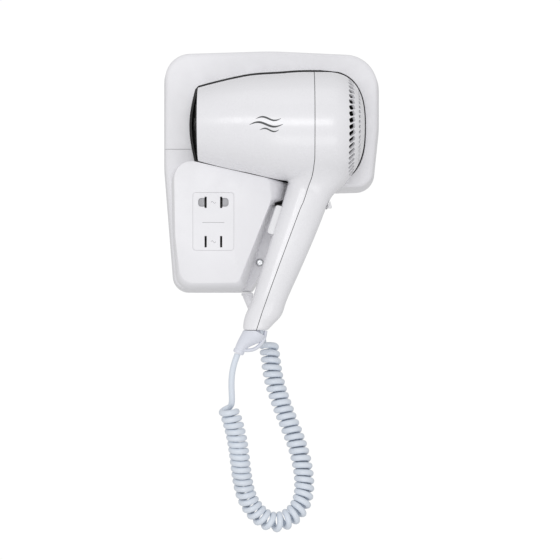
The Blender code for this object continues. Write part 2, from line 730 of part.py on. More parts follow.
def make_socket(face_paint, body_paint, metal):
    """Socket panel, the insulating block behind it and its four spring contacts."""
    front = SOCKET_BOX_DEPTH
    panel = prism(panel_outline(), front - PANEL_THICKNESS, front)
    places = pin_places()
    holes = [pin_hole(place, PIN_SLOT_WIDTH, PIN_SLOT_HEIGHT, front - 5.0, front + 2.0)
             for place in places]
    for (x, z), side in zip(places[:2], (-1.0, 1.0)):
        reach = PIN_SLOT_WIDTH / 2.0 - 0.2
        half = ROUND_PIN_HEIGHT / 2.0
        tip = x + side * (reach + ROUND_PIN_REACH)
        corners = [(x + side * reach, z + half, 0.4), (tip, z + half, 3.0), (tip, z - half, 3.0),
                   (x + side * reach, z - half, 0.4)]
        holes.append(prism(rounded(corners, 4), front - 5.0, front + 2.0))
    make_object("socket_insert", cut(panel, *holes), face_paint)

    back = front - PANEL_THICKNESS - TOUCH_GAP
    margin = 1.5
    low = PANEL_TOP - PANEL_HEIGHT
    body = block((PANEL_LEFT + margin, -back, low + margin),
                 (PANEL_LEFT + PANEL_WIDTH - margin, -back + SOCKET_BODY_DEPTH, PANEL_TOP - margin))
    pockets = [pin_hole(place, 4.6, PIN_SLOT_HEIGHT + 0.8, back - SOCKET_BODY_DEPTH - 1.0, back - 1.4)
               for place in places]
    slots = [pin_hole(place, PIN_SLOT_WIDTH + 0.4, PIN_SLOT_HEIGHT + 0.4, back - 2.0, back + 1.0)
             for place in places]
    make_object("socket_body", cut(body, *pockets, *slots), body_paint)
    for number, (x, z) in enumerate(places, 1):
        near = back - SOCKET_BODY_DEPTH - 4.0
        far = back - 1.4 - TOUCH_GAP
        half = PIN_SLOT_HEIGHT / 2.0 - 0.3
        outer = block((x - 2.0, -far, z - half), (x + 2.0, -near, z + half))
        mouth = block((x - 1.2, -far - 1.0, z - half - 1.0), (x + 1.2, -near - 1.2, z + half + 1.0))
        make_object(f"socket_contact_{number}", cut(outer, mouth), metal)


def make_supply(core_paint, coil_paint, block_paint):
    """Isolating transformer of the shaver socket and the terminal block of the mains."""
    middle = (PANEL_LEFT + PANEL_WIDTH / 2.0, PANEL_TOP - PANEL_HEIGHT / 2.0)
    near = WALL_PLATE_THICKNESS + 3.0
    core_depth = 13.0
    core = block((middle[0] - 18.0, -near - core_depth, middle[1] - 15.0),
                 (middle[0] + 18.0, -near, middle[1] + 15.0))
    windows = [block((middle[0] + low, -near - core_depth - 1.0, middle[1] - 9.0),
                     (middle[0] + low + 7.5, -near + 1.0, middle[1] + 9.0)) for low in (-13.0, 5.5)]
    make_object("transformer_core", cut(core, *windows), core_paint)
    outer = block((middle[0] - 12.5, -near - core_depth - 5.0, middle[1] - 8.5),
                  (middle[0] + 12.5, -near + 2.4, middle[1] + 8.5))
    leg = block((middle[0] - 5.8, -near - core_depth - 0.5, middle[1] - 10.0),
                (middle[0] + 5.8, -near + 0.5, middle[1] + 10.0))
    make_object("transformer_coil", cut(outer, leg), coil_paint)
    plate = -WALL_PLATE_THICKNESS
    x, z = TERMINAL_PLACE
    terminals = block((x - 12.0, plate - 12.0, z - 5.0), (x + 12.0, plate - 2.0, z + 5.0))
    wells = [rod((x + step, plate - 7.0, z), (x + step, plate - 13.0, z), 2.0, 8)
             for step in (-7.0, 0.0, 7.0)]
    make_object("terminal_block", cut(terminals, *wells), block_paint)


# ---------------------------------------------------------------- handset pieces
def seam_side(side):
    """Clip on one side of the seam between the two housings: -1 in front of it, +1 behind it."""
    shift = side * TOUCH_GAP / 2.0
    line = ((0.0, 120.0), (0.0, 5.7), (-1.7, -6.4), (-4.9, -15.7), (-9.0, -28.2), (-14.9, -42.7),
            (-47.0, -132.0), (-49.0, -160.0))
    outline = [(SEAM_X + x + shift, z) for x, z in line]
    far = 160.0 * side
    outline += [(far, -160.0), (far, 120.0)]
    return prism(outline, 0.0, 150.0)


def paddle_frame():
    """Frame of the front paddle on the handle's inner side."""
    return side_frame(PADDLE_TOP, PADDLE_LENGTH, 0)


def thumb_frame():
    """Frame of the thumb slide on the handle's outer side."""
    return side_frame(THUMB_TOP, THUMB_LENGTH + THUMB_TRAVEL, 1)


def handle_screw_line(height):
    """Head point and direction of one handle screw, square to the handle's inner side."""
    top, down, outward = side_frame(height, 8.0, 0)
    return top + down * 4.0, -outward


def handset_shell():
    """Barrel and handle as one hollow shell, open at the nose."""
    outer = join(barrel_solid(), handle_solid())
    hollow = join(barrel_solid(BARREL_WALL, NOSE_X - 3.0), handle_solid(BARREL_WALL))
    return cut(outer, hollow)


def make_housings(paint):
    """Front and rear housings, split along the seam, with their windows, slots and screw bosses."""
    bosses = []
    bores = []
    pockets = []
    for height in HANDLE_SCREW_HEIGHTS:
        head, inward = handle_screw_line(height)
        bosses.append(rod(head + inward * 1.0, head + inward * 60.0, BOSS_RADIUS))
        bores.append(rod(head - inward * 2.0, head + inward * 20.0, SCREW_SHANK_RADIUS + TOUCH_GAP))
        pockets.append(rod(head - inward * 3.0, head + inward * (SCREW_HEAD_HEIGHT + 1.0),
                           SCREW_HEAD_RADIUS + TOUCH_GAP))
    inside_bosses = keep(join(*bosses), handle_solid(BARREL_WALL / 2.0))
    shell = cut(join(handset_shell(), inside_bosses), *bores)
    last = HANDLE_SECTIONS[-1]
    cord_hole_x = (last[1] + last[2]) / 2.0
    low = Vector((cord_hole_x, -AXIS_FROM_WALL, last[0] - 3.0))
    cord_hole = rod(low, low + Vector((0.0, 0.0, 9.0)), CORD_HOLE_RADIUS)
    shell = cut(shell, cord_hole)
    spare = shell.copy()

    paddle_window = sloped_block(paddle_frame(), (-RUN_GAP, PADDLE_LENGTH + RUN_GAP), (-5.0, 4.0),
                                 PADDLE_WIDTH / 2.0 + RUN_GAP)
    front = cut(keep(shell, seam_side(-1)), paddle_window, *pockets)
    make_object("front_housing", front, paint)

    middle = THUMB_LENGTH / 2.0
    reach = THUMB_STEM / 2.0 + RUN_GAP
    thumb_slot = sloped_block(thumb_frame(), (middle - reach, middle + reach + THUMB_TRAVEL), (-6.0, 6.0), reach)
    slots = []
    for index in range(SLOT_COUNT):
        low = (SLOT_X - SLOT_LENGTH / 2.0, SLOT_START_RADIUS, -SLOT_WIDTH / 2.0)
        high = (SLOT_X + SLOT_LENGTH / 2.0, SLOT_START_RADIUS + BARREL_RADIUS, SLOT_WIDTH / 2.0)
        slot = block(low, high)
        turn = Matrix.Rotation(2.0 * math.pi * (index + 0.5) / SLOT_COUNT, 3, "X")
        bmesh.ops.rotate(slot, matrix=turn, verts=slot.verts)
        bmesh.ops.translate(slot, vec=(0.0, -AXIS_FROM_WALL, AXIS_HEIGHT), verts=slot.verts)
        slots.append(slot)
    make_object("rear_housing", cut(keep(spare, seam_side(1)), thumb_slot, *slots), paint)


def make_handle_screws(paint):
    """The two screws that pull the housings together."""
    for name, height in zip(("handle_screw_upper", "handle_screw_lower"), HANDLE_SCREW_HEIGHTS):
        head, inward = handle_screw_line(height)
        start = head + inward * (1.0 - TOUCH_GAP)
        make_object(name, screw(start, inward, 17.0), paint)


def paddle_pivot():
    """Point on the paddle's hinge axis, inside the lower end of the paddle."""
    top, down, outward = paddle_frame()
    return top + down * (PADDLE_LENGTH - 1.6) - outward * (PADDLE_DEPTH - 1.2)


def make_paddle(paint):
    """Front paddle: it hinges at its lower end and is pressed into the handle."""
    top, down, outward = paddle_frame()
    half = PADDLE_WIDTH / 2.0
    outline = ((0.0, -PADDLE_DEPTH), (0.0, PADDLE_PROUD - 1.6), (1.2, PADDLE_PROUD - 0.3), (3.4, PADDLE_PROUD),
               (PADDLE_LENGTH - 2.6, PADDLE_PROUD + 0.3), (PADDLE_LENGTH - 0.8, PADDLE_PROUD - 0.1),
               (PADDLE_LENGTH, PADDLE_PROUD - 1.3), (PADDLE_LENGTH, -PADDLE_DEPTH))
    rings = []
    for width, shrink in ((-half, 0.9), (-half + 0.8, 0.0), (half - 0.8, 0.0), (half, 0.9)):
        ring = []
        for along, out in outline:
            eased = out - shrink if out > 0.0 else out
            ring.append(top + down * along + outward * eased + Vector((0.0, width, 0.0)))
        rings.append(ring)
    make_object("front_paddle", loft(rings), paint, paddle_pivot())


def make_thumb_slide(paint):
    """Thumb slide: a ramp with a flat lower ledge, on a stem that passes through the housing's slot."""
    frame = thumb_frame()
    top, down, outward = frame
    half = THUMB_WIDTH / 2.0
    foot = THUMB_FOOT
    crest = foot + THUMB_PROUD
    outline = ((0.0, foot), (0.0, foot + 0.3), (THUMB_CREST - 0.9, crest - 0.2), (THUMB_CREST, crest),
               (THUMB_CREST + 0.6, crest - 0.5), (THUMB_CREST + 2.6, foot + 0.9), (THUMB_LENGTH, foot + 0.5),
               (THUMB_LENGTH, foot))
    rings = [[top + down * a + outward * b + Vector((0.0, y, 0.0)) for a, b in outline]
             for y in (-half, half)]
    middle = THUMB_LENGTH / 2.0
    stem = sloped_block(frame, (middle - THUMB_STEM / 2.0, middle + THUMB_STEM / 2.0), (-3.6, foot + 0.3),
                        THUMB_STEM / 2.0)
    make_object("thumb_slide", join(loft(rings), stem), paint, top + down * middle)


def make_switches(paint):
    """Switch bodies behind the paddle and behind the thumb slide."""
    frame = paddle_frame()
    body = sloped_block(frame, (3.0, 17.0), (-14.5, -PADDLE_DEPTH - 3.0), 4.0)
    make_object("paddle_switch", body, paint)
    frame = thumb_frame()
    body = sloped_block(frame, (-1.0, THUMB_LENGTH + THUMB_TRAVEL), (-9.5, -4.2), 5.0)
    make_object("slide_switch", body, paint)


def on_axis(x):
    """Point on the fan's axis."""
    return Vector((x, -AXIS_FROM_WALL, AXIS_HEIGHT))


def on_nose(x):
    """Point on the nose's centre line."""
    return Vector((x, -AXIS_FROM_WALL, barrel_centre(NOSE_X)))


def make_air_path(black, steel, mica, wire, motor, filter_paint):
    """Outlet grille, heater and its tube, motor with its holder, and the intake filter."""
    ahead = Vector((1.0, 0.0, 0.0))
    inner = GRILLE_RADIUS - 2.0
    ring = turned(on_nose(NOSE_X), ahead, ((-0.6, GRILLE_RADIUS), (8.0, GRILLE_RADIUS), (8.0, inner),
                                           (-0.6, GRILLE_RADIUS - 2.0)), 32, closed=True)
    bars = []
    for index in range(GRILLE_BARS // 2):
        angle = math.pi * index / (GRILLE_BARS // 2)
        across = Vector((0.0, math.cos(angle), math.sin(angle)))
        side = Vector((0.0, -math.sin(angle), math.cos(angle))) * 0.9
        step = 0.11 * index
        stations = [-1.0, -0.55, 0.0, 0.55, 1.0]
        rings = []
        for share in stations:
            place = on_nose(NOSE_X) + across * (GRILLE_RADIUS - 1.0) * share
            bulge = ahead * (0.6 + step - GRILLE_BULGE * (1.0 - share * share))
            rings.append([place + bulge + side, place + bulge - side, place + bulge - side + ahead * 2.0,
                          place + bulge + side + ahead * 2.0])
        bars.append(loft(rings))
    hub = turned(on_nose(NOSE_X), ahead, ((-GRILLE_BULGE + 0.4, 5.0), (-GRILLE_BULGE + 3.3, 5.0)), 16)
    hoop_x = 0.6 - GRILLE_BULGE * 0.68
    hoop = turned(on_nose(NOSE_X), ahead, ((hoop_x, 16.4), (hoop_x + 1.8, 16.4), (hoop_x + 1.8, 14.2),
                                           (hoop_x, 14.2)), 24, closed=True)
    make_object("outlet_grille", join(ring, *bars, hub, hoop), black)

    back_x = HEAT_TUBE_FRONT_X + HEAT_TUBE_LENGTH
    inner = HEAT_TUBE_RADIUS - HEAT_TUBE_WALL
    length = HEAT_TUBE_LENGTH
    profile = ((0.0, HEAT_TUBE_RADIUS), (length, HEAT_TUBE_RADIUS), (length, inner), (0.0, inner))
    tube = turned(on_nose(HEAT_TUBE_FRONT_X), ahead, profile, 24, closed=True)
    make_object("heat_tube", tube, steel)

    mica_front = HEAT_TUBE_FRONT_X + 5.0
    mica_back = back_x - 6.0
    middle = on_nose(0.0)
    half = MICA_THICKNESS / 2.0
    upright = block((mica_front, middle.y - half, middle.z - MICA_RADIUS),
                    (mica_back, middle.y + half, middle.z + MICA_RADIUS))
    level = block((mica_front + 0.5, middle.y - MICA_RADIUS, middle.z - half),
                  (mica_back - 0.5, middle.y + MICA_RADIUS, middle.z + half))
    make_object("heater_frame", join(upright, level), mica)

    per_turn = 14
    coil_radius = (MICA_RADIUS + HEATER_WIRE_RADIUS + 2.0 * TOUCH_GAP) / math.cos(math.pi / per_turn)
    pitch = (mica_back - mica_front - 8.0) / HEATER_TURNS
    rings = []
    for index in range(HEATER_TURNS * per_turn + 1):
        angle = 2.0 * math.pi * index / per_turn
        outward = Vector((0.0, math.cos(angle), math.sin(angle)))
        along = Vector((pitch / (2.0 * math.pi * coil_radius), -math.sin(angle), math.cos(angle))).normalized()
        side = along.cross(outward)
        centre = on_nose(mica_front + 4.0 + pitch * index / per_turn) + outward * coil_radius
        rings.append([centre + (outward * math.cos(turn) + side * math.sin(turn)) * HEATER_WIRE_RADIUS
                      for turn in (math.radians(60.0 * corner) for corner in range(6))])
    make_object("heater_coil", loft(rings), wire)

    profile = ((0.0, 7.0), (3.0, 7.0), (3.6, 5.0), (5.0, 5.0))
    thermostat = turned(on_nose(mica_back + TOUCH_GAP), ahead, profile, 12)
    make_object("thermostat", thermostat, black)

    shaft_bore = SHAFT_RADIUS + TOUCH_GAP
    can = turned(on_axis(MOTOR_FRONT_X), ahead, ((0.0, MOTOR_RADIUS - 1.5), (1.5, MOTOR_RADIUS),
                                                 (MOTOR_LENGTH - 3.0, MOTOR_RADIUS), (MOTOR_LENGTH - 3.0, 5.0),
                                                 (MOTOR_LENGTH, 5.0)), 20)
    motor_back = MOTOR_FRONT_X + MOTOR_LENGTH
    bore = rod(on_axis(motor_back - 10.0), on_axis(motor_back + 2.0), shaft_bore)
    make_object("fan_motor", cut(can, bore), motor)

    inner = MOTOR_RADIUS + TOUCH_GAP
    holder_front = MOTOR_FRONT_X + 6.0
    outer = barrel_radius(holder_front, BARREL_WALL + TOUCH_GAP) - 0.6
    width = 14.0
    wall = 1.4
    profile = ((0.0, inner + wall), (width, inner + wall), (width, inner), (0.0, inner))
    cup = turned(on_axis(holder_front), ahead, profile, 20, closed=True)
    profile = ((0.0, outer), (width, outer), (width, outer - wall), (0.0, outer - wall))
    rim = turned(on_axis(holder_front), ahead, profile, 32, closed=True)
    vanes = []
    for index in range(HOLDER_VANES):
        angle = 2.0 * math.pi * (index + 0.25) / HOLDER_VANES
        outward = Vector((0.0, math.cos(angle), math.sin(angle)))
        side = Vector((0.0, -math.sin(angle), math.cos(angle))) * 0.7
        rings = []
        for radius in (inner + 0.7, outer - 0.7):
            foot = on_axis(holder_front + 2.0) + outward * radius
            back = ahead * (width - 4.0)
            rings.append([foot + side, foot - side, foot - side + back, foot + side + back])
        vanes.append(loft(rings))
    make_object("motor_holder", join(cup, rim, *vanes), black)

    filter_x = SLOT_X - 7.4
    outer = barrel_radius(SLOT_X - 3.0, BARREL_WALL) - 1.6
    inner_r = 8.0
    mesh = turned(on_axis(filter_x + 4.0), ahead, ((0.0, outer - 0.4), (0.8, outer),
                                                   (8.0, inner_r + 0.8), (8.0, inner_r),
                                                   (7.2, inner_r), (0.0, outer - 2.0)), 28, closed=True)
    make_object("intake_filter", mesh, filter_paint)


def make_fan(fan_paint, metal):
    """Fan impeller and the motor's shaft, which turn together."""
    ahead = Vector((1.0, 0.0, 0.0))
    fan_x = MOTOR_FRONT_X + MOTOR_LENGTH + 2.0
    shaft_start = MOTOR_FRONT_X + MOTOR_LENGTH - 8.0
    shaft = rod(on_axis(shaft_start), on_axis(fan_x + FAN_DEPTH - 2.0), SHAFT_RADIUS)
    pivot = on_axis(fan_x)
    make_object("motor_shaft", shaft, metal, pivot)
    profile = ((0.0, 9.0), (FAN_DEPTH - 3.0, 9.0), (FAN_DEPTH - 1.0, 6.5), (FAN_DEPTH, 3.0))
    hub = turned(on_axis(fan_x), ahead, profile, 18)
    blades = []
    for index in range(FAN_BLADES):
        angle = 2.0 * math.pi * index / FAN_BLADES
        outward = Vector((0.0, math.cos(angle), math.sin(angle)))
        side = Vector((0.0, -math.sin(angle), math.cos(angle)))
        rings = []
        for radius, twist in ((7.0, 3.6), (20.0, 5.2), (30.0, 6.0), (FAN_RADIUS, 6.2)):
            middle = on_axis(fan_x + FAN_DEPTH * 0.46) + outward * math.sqrt(max(radius**2 - twist**2, 1.0))
            chord = side * twist + ahead * (FAN_DEPTH * 0.36)
            thick = (ahead - side * 0.6).normalized() * 0.55
            rings.append([middle - chord + thick, middle + chord + thick,
                          middle + chord - thick, middle - chord - thick])
        blades.append(loft(rings))
    bore_end = fan_x + FAN_DEPTH - 2.0 + TOUCH_GAP
    bore = rod(on_axis(fan_x - 2.0), on_axis(bore_end), SHAFT_RADIUS + TOUCH_GAP)
    make_object("fan_impeller", cut(join(hub, *blades), bore), fan_paint, pivot)


# ---------------------------------------------------------------- cord and its glands
def tapered(stations, count=16):
    """A solid through oval sections square to the path: (centre, half width, half depth) of each."""
    rings = []
    for index, (centre, wide, deep) in enumerate(stations):
        before = Vector(stations[max(index - 1, 0)][0])
        after = Vector(stations[min(index + 1, len(stations) - 1)][0])
        along = (after - before).normalized()
        across = Vector((0.0, 1.0, 0.0)).cross(along).normalized()
        depth = along.cross(across)
        ring = []
        for corner in range(count):
            angle = 2.0 * math.pi * corner / count
            ring.append(Vector(centre) + across * wide * math.cos(angle) + depth * deep * math.sin(angle))
        rings.append(ring)
    return loft(rings)


def make_handset_gland(paint):
    """Strain relief at the handle's end, with its hanging loop."""
    last = HANDLE_SECTIONS[-1]
    middle = (last[1] + last[2]) / 2.0
    top = last[0] - TOUCH_GAP
    y = -AXIS_FROM_WALL
    end = Vector(HANDSET_LEAD_ROUTE[0]) - Vector((-0.3, 0.0, -0.4))
    wide = (last[2] - last[1]) / 2.0
    neck_top = top + TOUCH_GAP + BARREL_WALL + 1.0
    deep = last[3]
    body = tapered((((middle, y, top), wide, deep),
                    ((middle - 1.4, y, top - 2.4), wide - 0.6, deep - 0.8),
                    ((middle - 4.6, y, top - 5.4), wide - 2.4, deep - 2.2),
                    ((middle - 9.2, y, top - 10.0), 5.6, 5.6),
                    ((middle - 12.4, y, top - 14.6), 4.3, 4.3),
                    (end, 4.0, 4.0)))
    trim = block((middle - 30.0, y - 30.0, top), (middle + 30.0, y + 30.0, top + 20.0))
    neck = rod((middle, y, top - 2.0), (middle, y, neck_top), CORD_HOLE_RADIUS - TOUCH_GAP, 12)
    right = last[2]
    loop_points = ((right - 1.9, y, top - 0.6), (right - 2.9, y, top - 5.8), (right - 5.6, y, top - 10.8),
                   (right - 10.4, y, top - 14.8), (right - 16.0, y, top - 16.2), (middle - 12.6, y, top - 15.6))
    loop = tapered([(point, 1.6, 2.6) for point in loop_points], 10)
    make_object("handset_gland", join(cut(join(body, loop), trim), neck), paint)


def base_gland_end():
    """Point and direction where the cord enters the holder's gland."""
    x, y = BASE_GLAND_PLACE
    direction = Vector((0.34, -0.16, -0.93)).normalized()
    return Vector((x, y, HOLDER_BOTTOM - 1.6)) + direction * BASE_GLAND_LENGTH, direction


def make_base_gland(paint):
    """Gland at the holder's lower right corner: a lip and a tapered sleeve that leans to the right."""
    x, y = BASE_GLAND_PLACE
    end, direction = base_gland_end()
    lip = rod((x, y, HOLDER_BOTTOM - TOUCH_GAP), (x, y, HOLDER_BOTTOM - TOUCH_GAP - 2.2), 5.0, 16)
    start = Vector((x, y, HOLDER_BOTTOM - 1.2))
    sleeve = tapered(((start, 4.3, 4.3), (start.lerp(end, 0.5), 3.9, 3.9), (end, 3.3, 3.3)), 14)
    make_object("base_gland", join(lip, sleeve), paint)


def curl_approach(end, after):
    """The last two points of a lead that meets the curl's end face square on."""
    outward = (Vector(end) - Vector(after)).normalized()
    return [Vector(end) + outward * (LEAD_RUN_IN + TOUCH_GAP), Vector(end) + outward * TOUCH_GAP]


def make_cords(paint):
    """The cord: a straight lead from each gland and the curl between them."""
    handset_route = list(HANDSET_LEAD_ROUTE) + curl_approach(CURL_ROUTE[0], CURL_ROUTE[1])
    make_cord("handset_lead", handset_route, CORD_RADIUS, 5.5, 2, paint)
    make_cord("curl_cord", CURL_ROUTE, CURL_RADIUS, 11.0, 3, paint)
    end, direction = base_gland_end()
    base_route = [end + direction * TOUCH_GAP, end + direction * LEAD_RUN_IN]
    base_route += curl_approach(CURL_ROUTE[-1], CURL_ROUTE[-2])
    make_cord("base_lead", base_route, CORD_RADIUS, 4.5, 2, paint)


# ---------------------------------------------------------------- the model
def main():
    """Builds the holder, the handset and the cord."""
    clear_scene()
    white = make_material("white_abs", (0.80, 0.80, 0.83), 0.32)
    panel = make_material("panel_white", (0.78, 0.78, 0.80), 0.45)
    black = make_material("black_nylon", (0.012, 0.012, 0.012), 0.5)
    grey = make_material("grey_block", (0.50, 0.51, 0.53), 0.55)
    steel = make_material("plated_steel", (0.55, 0.56, 0.58), 0.3, 1.0)
    brass = make_material("brass", (0.70, 0.52, 0.22), 0.3, 1.0)
    mica = make_material("mica_board", (0.55, 0.50, 0.42), 0.7)
    copper = make_material("copper_winding", (0.60, 0.28, 0.14), 0.4, 1.0)
    cord_paint = make_material("cord_white", (0.70, 0.77, 0.85), 0.45)

    make_wall_plate(grey)
    make_tray_cover(white)
    make_socket_cover(white)
    make_cradle_liner(black)
    make_holder_screws(steel)
    make_socket(panel, grey, brass)
    make_supply(steel, copper, grey)
    make_housings(white)
    make_handle_screws(steel)
    make_paddle(white)
    make_thumb_slide(white)
    make_switches(black)
    make_air_path(black, steel, mica, steel, steel, black)
    make_fan(black, steel)
    make_handset_gland(cord_paint)
    make_base_gland(cord_paint)
    make_cords(cord_paint)


main()
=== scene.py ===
"""Wall-held hair dryer: holder with shaver socket, docked handset and curly cord, in a studio."""

from __future__ import annotations

import json
import logging
import math
from dataclasses import dataclass, field
from enum import Enum
from typing import Iterable, Sequence

import bmesh
import bpy
import numpy as np
from mathutils import Matrix, Vector

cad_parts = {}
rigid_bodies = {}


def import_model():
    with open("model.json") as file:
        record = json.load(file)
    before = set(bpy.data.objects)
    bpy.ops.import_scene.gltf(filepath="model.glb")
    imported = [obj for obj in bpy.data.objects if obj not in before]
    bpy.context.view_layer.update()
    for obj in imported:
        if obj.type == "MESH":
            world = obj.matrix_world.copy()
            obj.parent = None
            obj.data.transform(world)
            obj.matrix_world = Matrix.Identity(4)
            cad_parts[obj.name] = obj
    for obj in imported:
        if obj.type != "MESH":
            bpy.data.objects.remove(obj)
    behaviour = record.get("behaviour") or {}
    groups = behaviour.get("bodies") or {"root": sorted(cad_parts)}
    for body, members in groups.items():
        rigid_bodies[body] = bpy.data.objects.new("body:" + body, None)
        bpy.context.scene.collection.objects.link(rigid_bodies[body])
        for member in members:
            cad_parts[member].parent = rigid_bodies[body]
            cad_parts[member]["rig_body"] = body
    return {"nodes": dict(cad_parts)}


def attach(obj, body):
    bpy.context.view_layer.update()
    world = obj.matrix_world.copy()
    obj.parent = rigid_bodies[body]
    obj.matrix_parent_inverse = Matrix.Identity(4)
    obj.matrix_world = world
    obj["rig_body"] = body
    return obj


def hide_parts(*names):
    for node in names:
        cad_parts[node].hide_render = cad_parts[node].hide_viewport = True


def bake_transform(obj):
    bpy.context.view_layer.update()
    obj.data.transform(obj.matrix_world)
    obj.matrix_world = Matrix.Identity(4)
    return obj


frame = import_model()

LOG = logging.getLogger("hair_dryer")
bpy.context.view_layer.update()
MM = 0.001

Point2 = tuple[float, float]
Corner = tuple[float, float, float]


# ---------------------------------------------------------------- finishes
class Grain(Enum):
    """How the surface of a finish is textured."""

    POLISHED = "polished"
    SPARK = "spark"
    BRUSHED = "brushed"
    LAMINATED = "laminated"
    WOUND = "wound"
    FLECKED = "flecked"
    PRINTED = "printed"


@dataclass(frozen=True)
class Finish:
    """One material of the dryer, as a moulder or platter would order it.

    Lengths are in metres. spread is how far the tone strays from the colour, and grain_depth is the
    relief's height.
    """

    name: str
    color: tuple[float, float, float]
    roughness: float
    grain: Grain = Grain.POLISHED
    metallic: float = 0.0
    spread: float = 0.03
    roughness_spread: float = 0.06
    grain_size: float = 0.0006
    grain_depth: float = 0.00002
    coat: float = 0.0
    # How much painted shade darkens the colour in the part's creases.
    crease_shade: float = 0.0

    def material(self) -> bpy.types.Material:
        """The Blender material, made once and shared by every piece in this finish.

        Returns:
            The material with its procedural colour, roughness and relief.
        """
        known = bpy.data.materials.get(self.name)
        if known is not None:
            return known
        made = bpy.data.materials.new(self.name)
        made.use_nodes = True
        tree = made.node_tree
        shader = tree.nodes["Principled BSDF"]
        shader.inputs["Metallic"].default_value = self.metallic
        shader.inputs["Coat Weight"].default_value = self.coat
        shader.inputs["Coat Roughness"].default_value = 0.12
        place = tree.nodes.new("ShaderNodeTexCoord").outputs["Object"]
        tone = self._tone(tree, place)
        tree.links.new(tone, shader.inputs["Base Color"])
        tree.links.new(self._roughness(tree, place), shader.inputs["Roughness"])
        relief = tree.nodes.new("ShaderNodeBump")
        relief.inputs["Strength"].default_value = 1.0
        relief.inputs["Distance"].default_value = self.grain_depth
        tree.links.new(self._relief(tree, place), relief.inputs["Height"])
        tree.links.new(relief.outputs["Normal"], shader.inputs["Normal"])
        made.diffuse_color = (*self.color, 1.0)
        return made

    def _noise(self, tree: bpy.types.NodeTree, place: bpy.types.NodeSocket, size: float,
               detail: float = 3.0) -> bpy.types.NodeSocket:
        """A noise whose features are about size metres across.

        Args:
            tree: the material's nodes.
            place: the coordinates it reads.
            size: how far apart its features are.
            detail: how many finer layers it has.

        Returns:
            The noise's value socket.
        """
        node = tree.nodes.new("ShaderNodeTexNoise")
        node.inputs["Scale"].default_value = 1.0 / size
        node.inputs["Detail"].default_value = detail
        tree.links.new(place, node.inputs["Vector"])
        return node.outputs["Fac"]

    def _range(self, tree: bpy.types.NodeTree, value: bpy.types.NodeSocket, low: float, high: float,
               start: float = 0.3, end: float = 0.7) -> bpy.types.NodeSocket:
        """Stretches a value from start..end to low..high.

        Args:
            tree: the material's nodes.
            value: the socket to stretch.
            low: what start becomes.
            high: what end becomes.
            start: the lower end of what comes in.
            end: the upper end of what comes in.

        Returns:
            The stretched value's socket.
        """
        node = tree.nodes.new("ShaderNodeMapRange")
        for name, number in (("From Min", start), ("From Max", end), ("To Min", low), ("To Max", high)):
            node.inputs[name].default_value = number
        tree.links.new(value, node.inputs["Value"])
        return node.outputs["Result"]

    def _shade(self, amount: float) -> tuple[float, float, float, float]:
        """The colour made lighter or darker by a share."""
        return (*(min(1.0, channel * (1.0 + amount)) for channel in self.color), 1.0)

    def _tone(self, tree: bpy.types.NodeTree, place: bpy.types.NodeSocket) -> bpy.types.NodeSocket:
        """The colour, which strays a little over the part and is darkened by painted shade in its creases.

        Args:
            tree: the material's nodes.
            place: the coordinates it reads.

        Returns:
            The colour's socket.
        """
        drift = self._range(tree, self._noise(tree, place, 0.035, 4.0), 0.0, 1.0)
        mix = tree.nodes.new("ShaderNodeMix")
        mix.data_type = "RGBA"
        mix.inputs["A"].default_value = self._shade(-self.spread)
        mix.inputs["B"].default_value = self._shade(self.spread)
        tree.links.new(drift, mix.inputs["Factor"])
        tone = mix.outputs["Result"]
        if self.grain in (Grain.FLECKED, Grain.WOUND, Grain.LAMINATED):
            tone = self._overlay(tree, tone, self._pattern(tree, place), 0.35)
        # Painted shade: the colour is darkened where Pointiness finds a crease.
        if self.crease_shade > 0.0:
            crease = tree.nodes.new("ShaderNodeNewGeometry").outputs["Pointiness"]
            painted_crease_shade = self._range(tree, crease, self.crease_shade, 0.0, 0.44, 0.495)
            tone = self._overlay(tree, tone, painted_crease_shade, 1.0)
        return tone

    def _overlay(self, tree: bpy.types.NodeTree, tone: bpy.types.NodeSocket, mask: bpy.types.NodeSocket,
                 strength: float) -> bpy.types.NodeSocket:
        """Darkens a tone where a mask is high.

        Args:
            tree: the material's nodes.
            tone: the colour to darken.
            mask: where to darken it, from 0 to 1.
            strength: how much of its light the darkened colour loses.

        Returns:
            The darkened colour's socket.
        """
        mix = tree.nodes.new("ShaderNodeMix")
        mix.data_type = "RGBA"
        mix.blend_type = "MULTIPLY"
        left = 1.0 - 0.5 * strength
        mix.inputs["B"].default_value = (left, left, left * 0.99, 1.0)
        tree.links.new(mask, mix.inputs["Factor"])
        tree.links.new(tone, mix.inputs["A"])
        return mix.outputs["Result"]

    def _roughness(self, tree: bpy.types.NodeTree, place: bpy.types.NodeSocket) -> bpy.types.NodeSocket:
        """Roughness with soft patches where the part is handled.

        Args:
            tree: the node tree.
            place: the place socket.

        Returns:
            The roughness socket.
        """
        low = max(0.02, self.roughness - self.roughness_spread)
        high = self.roughness + self.roughness_spread
        return self._range(tree, self._noise(tree, place, 0.012, 5.0), low, high)

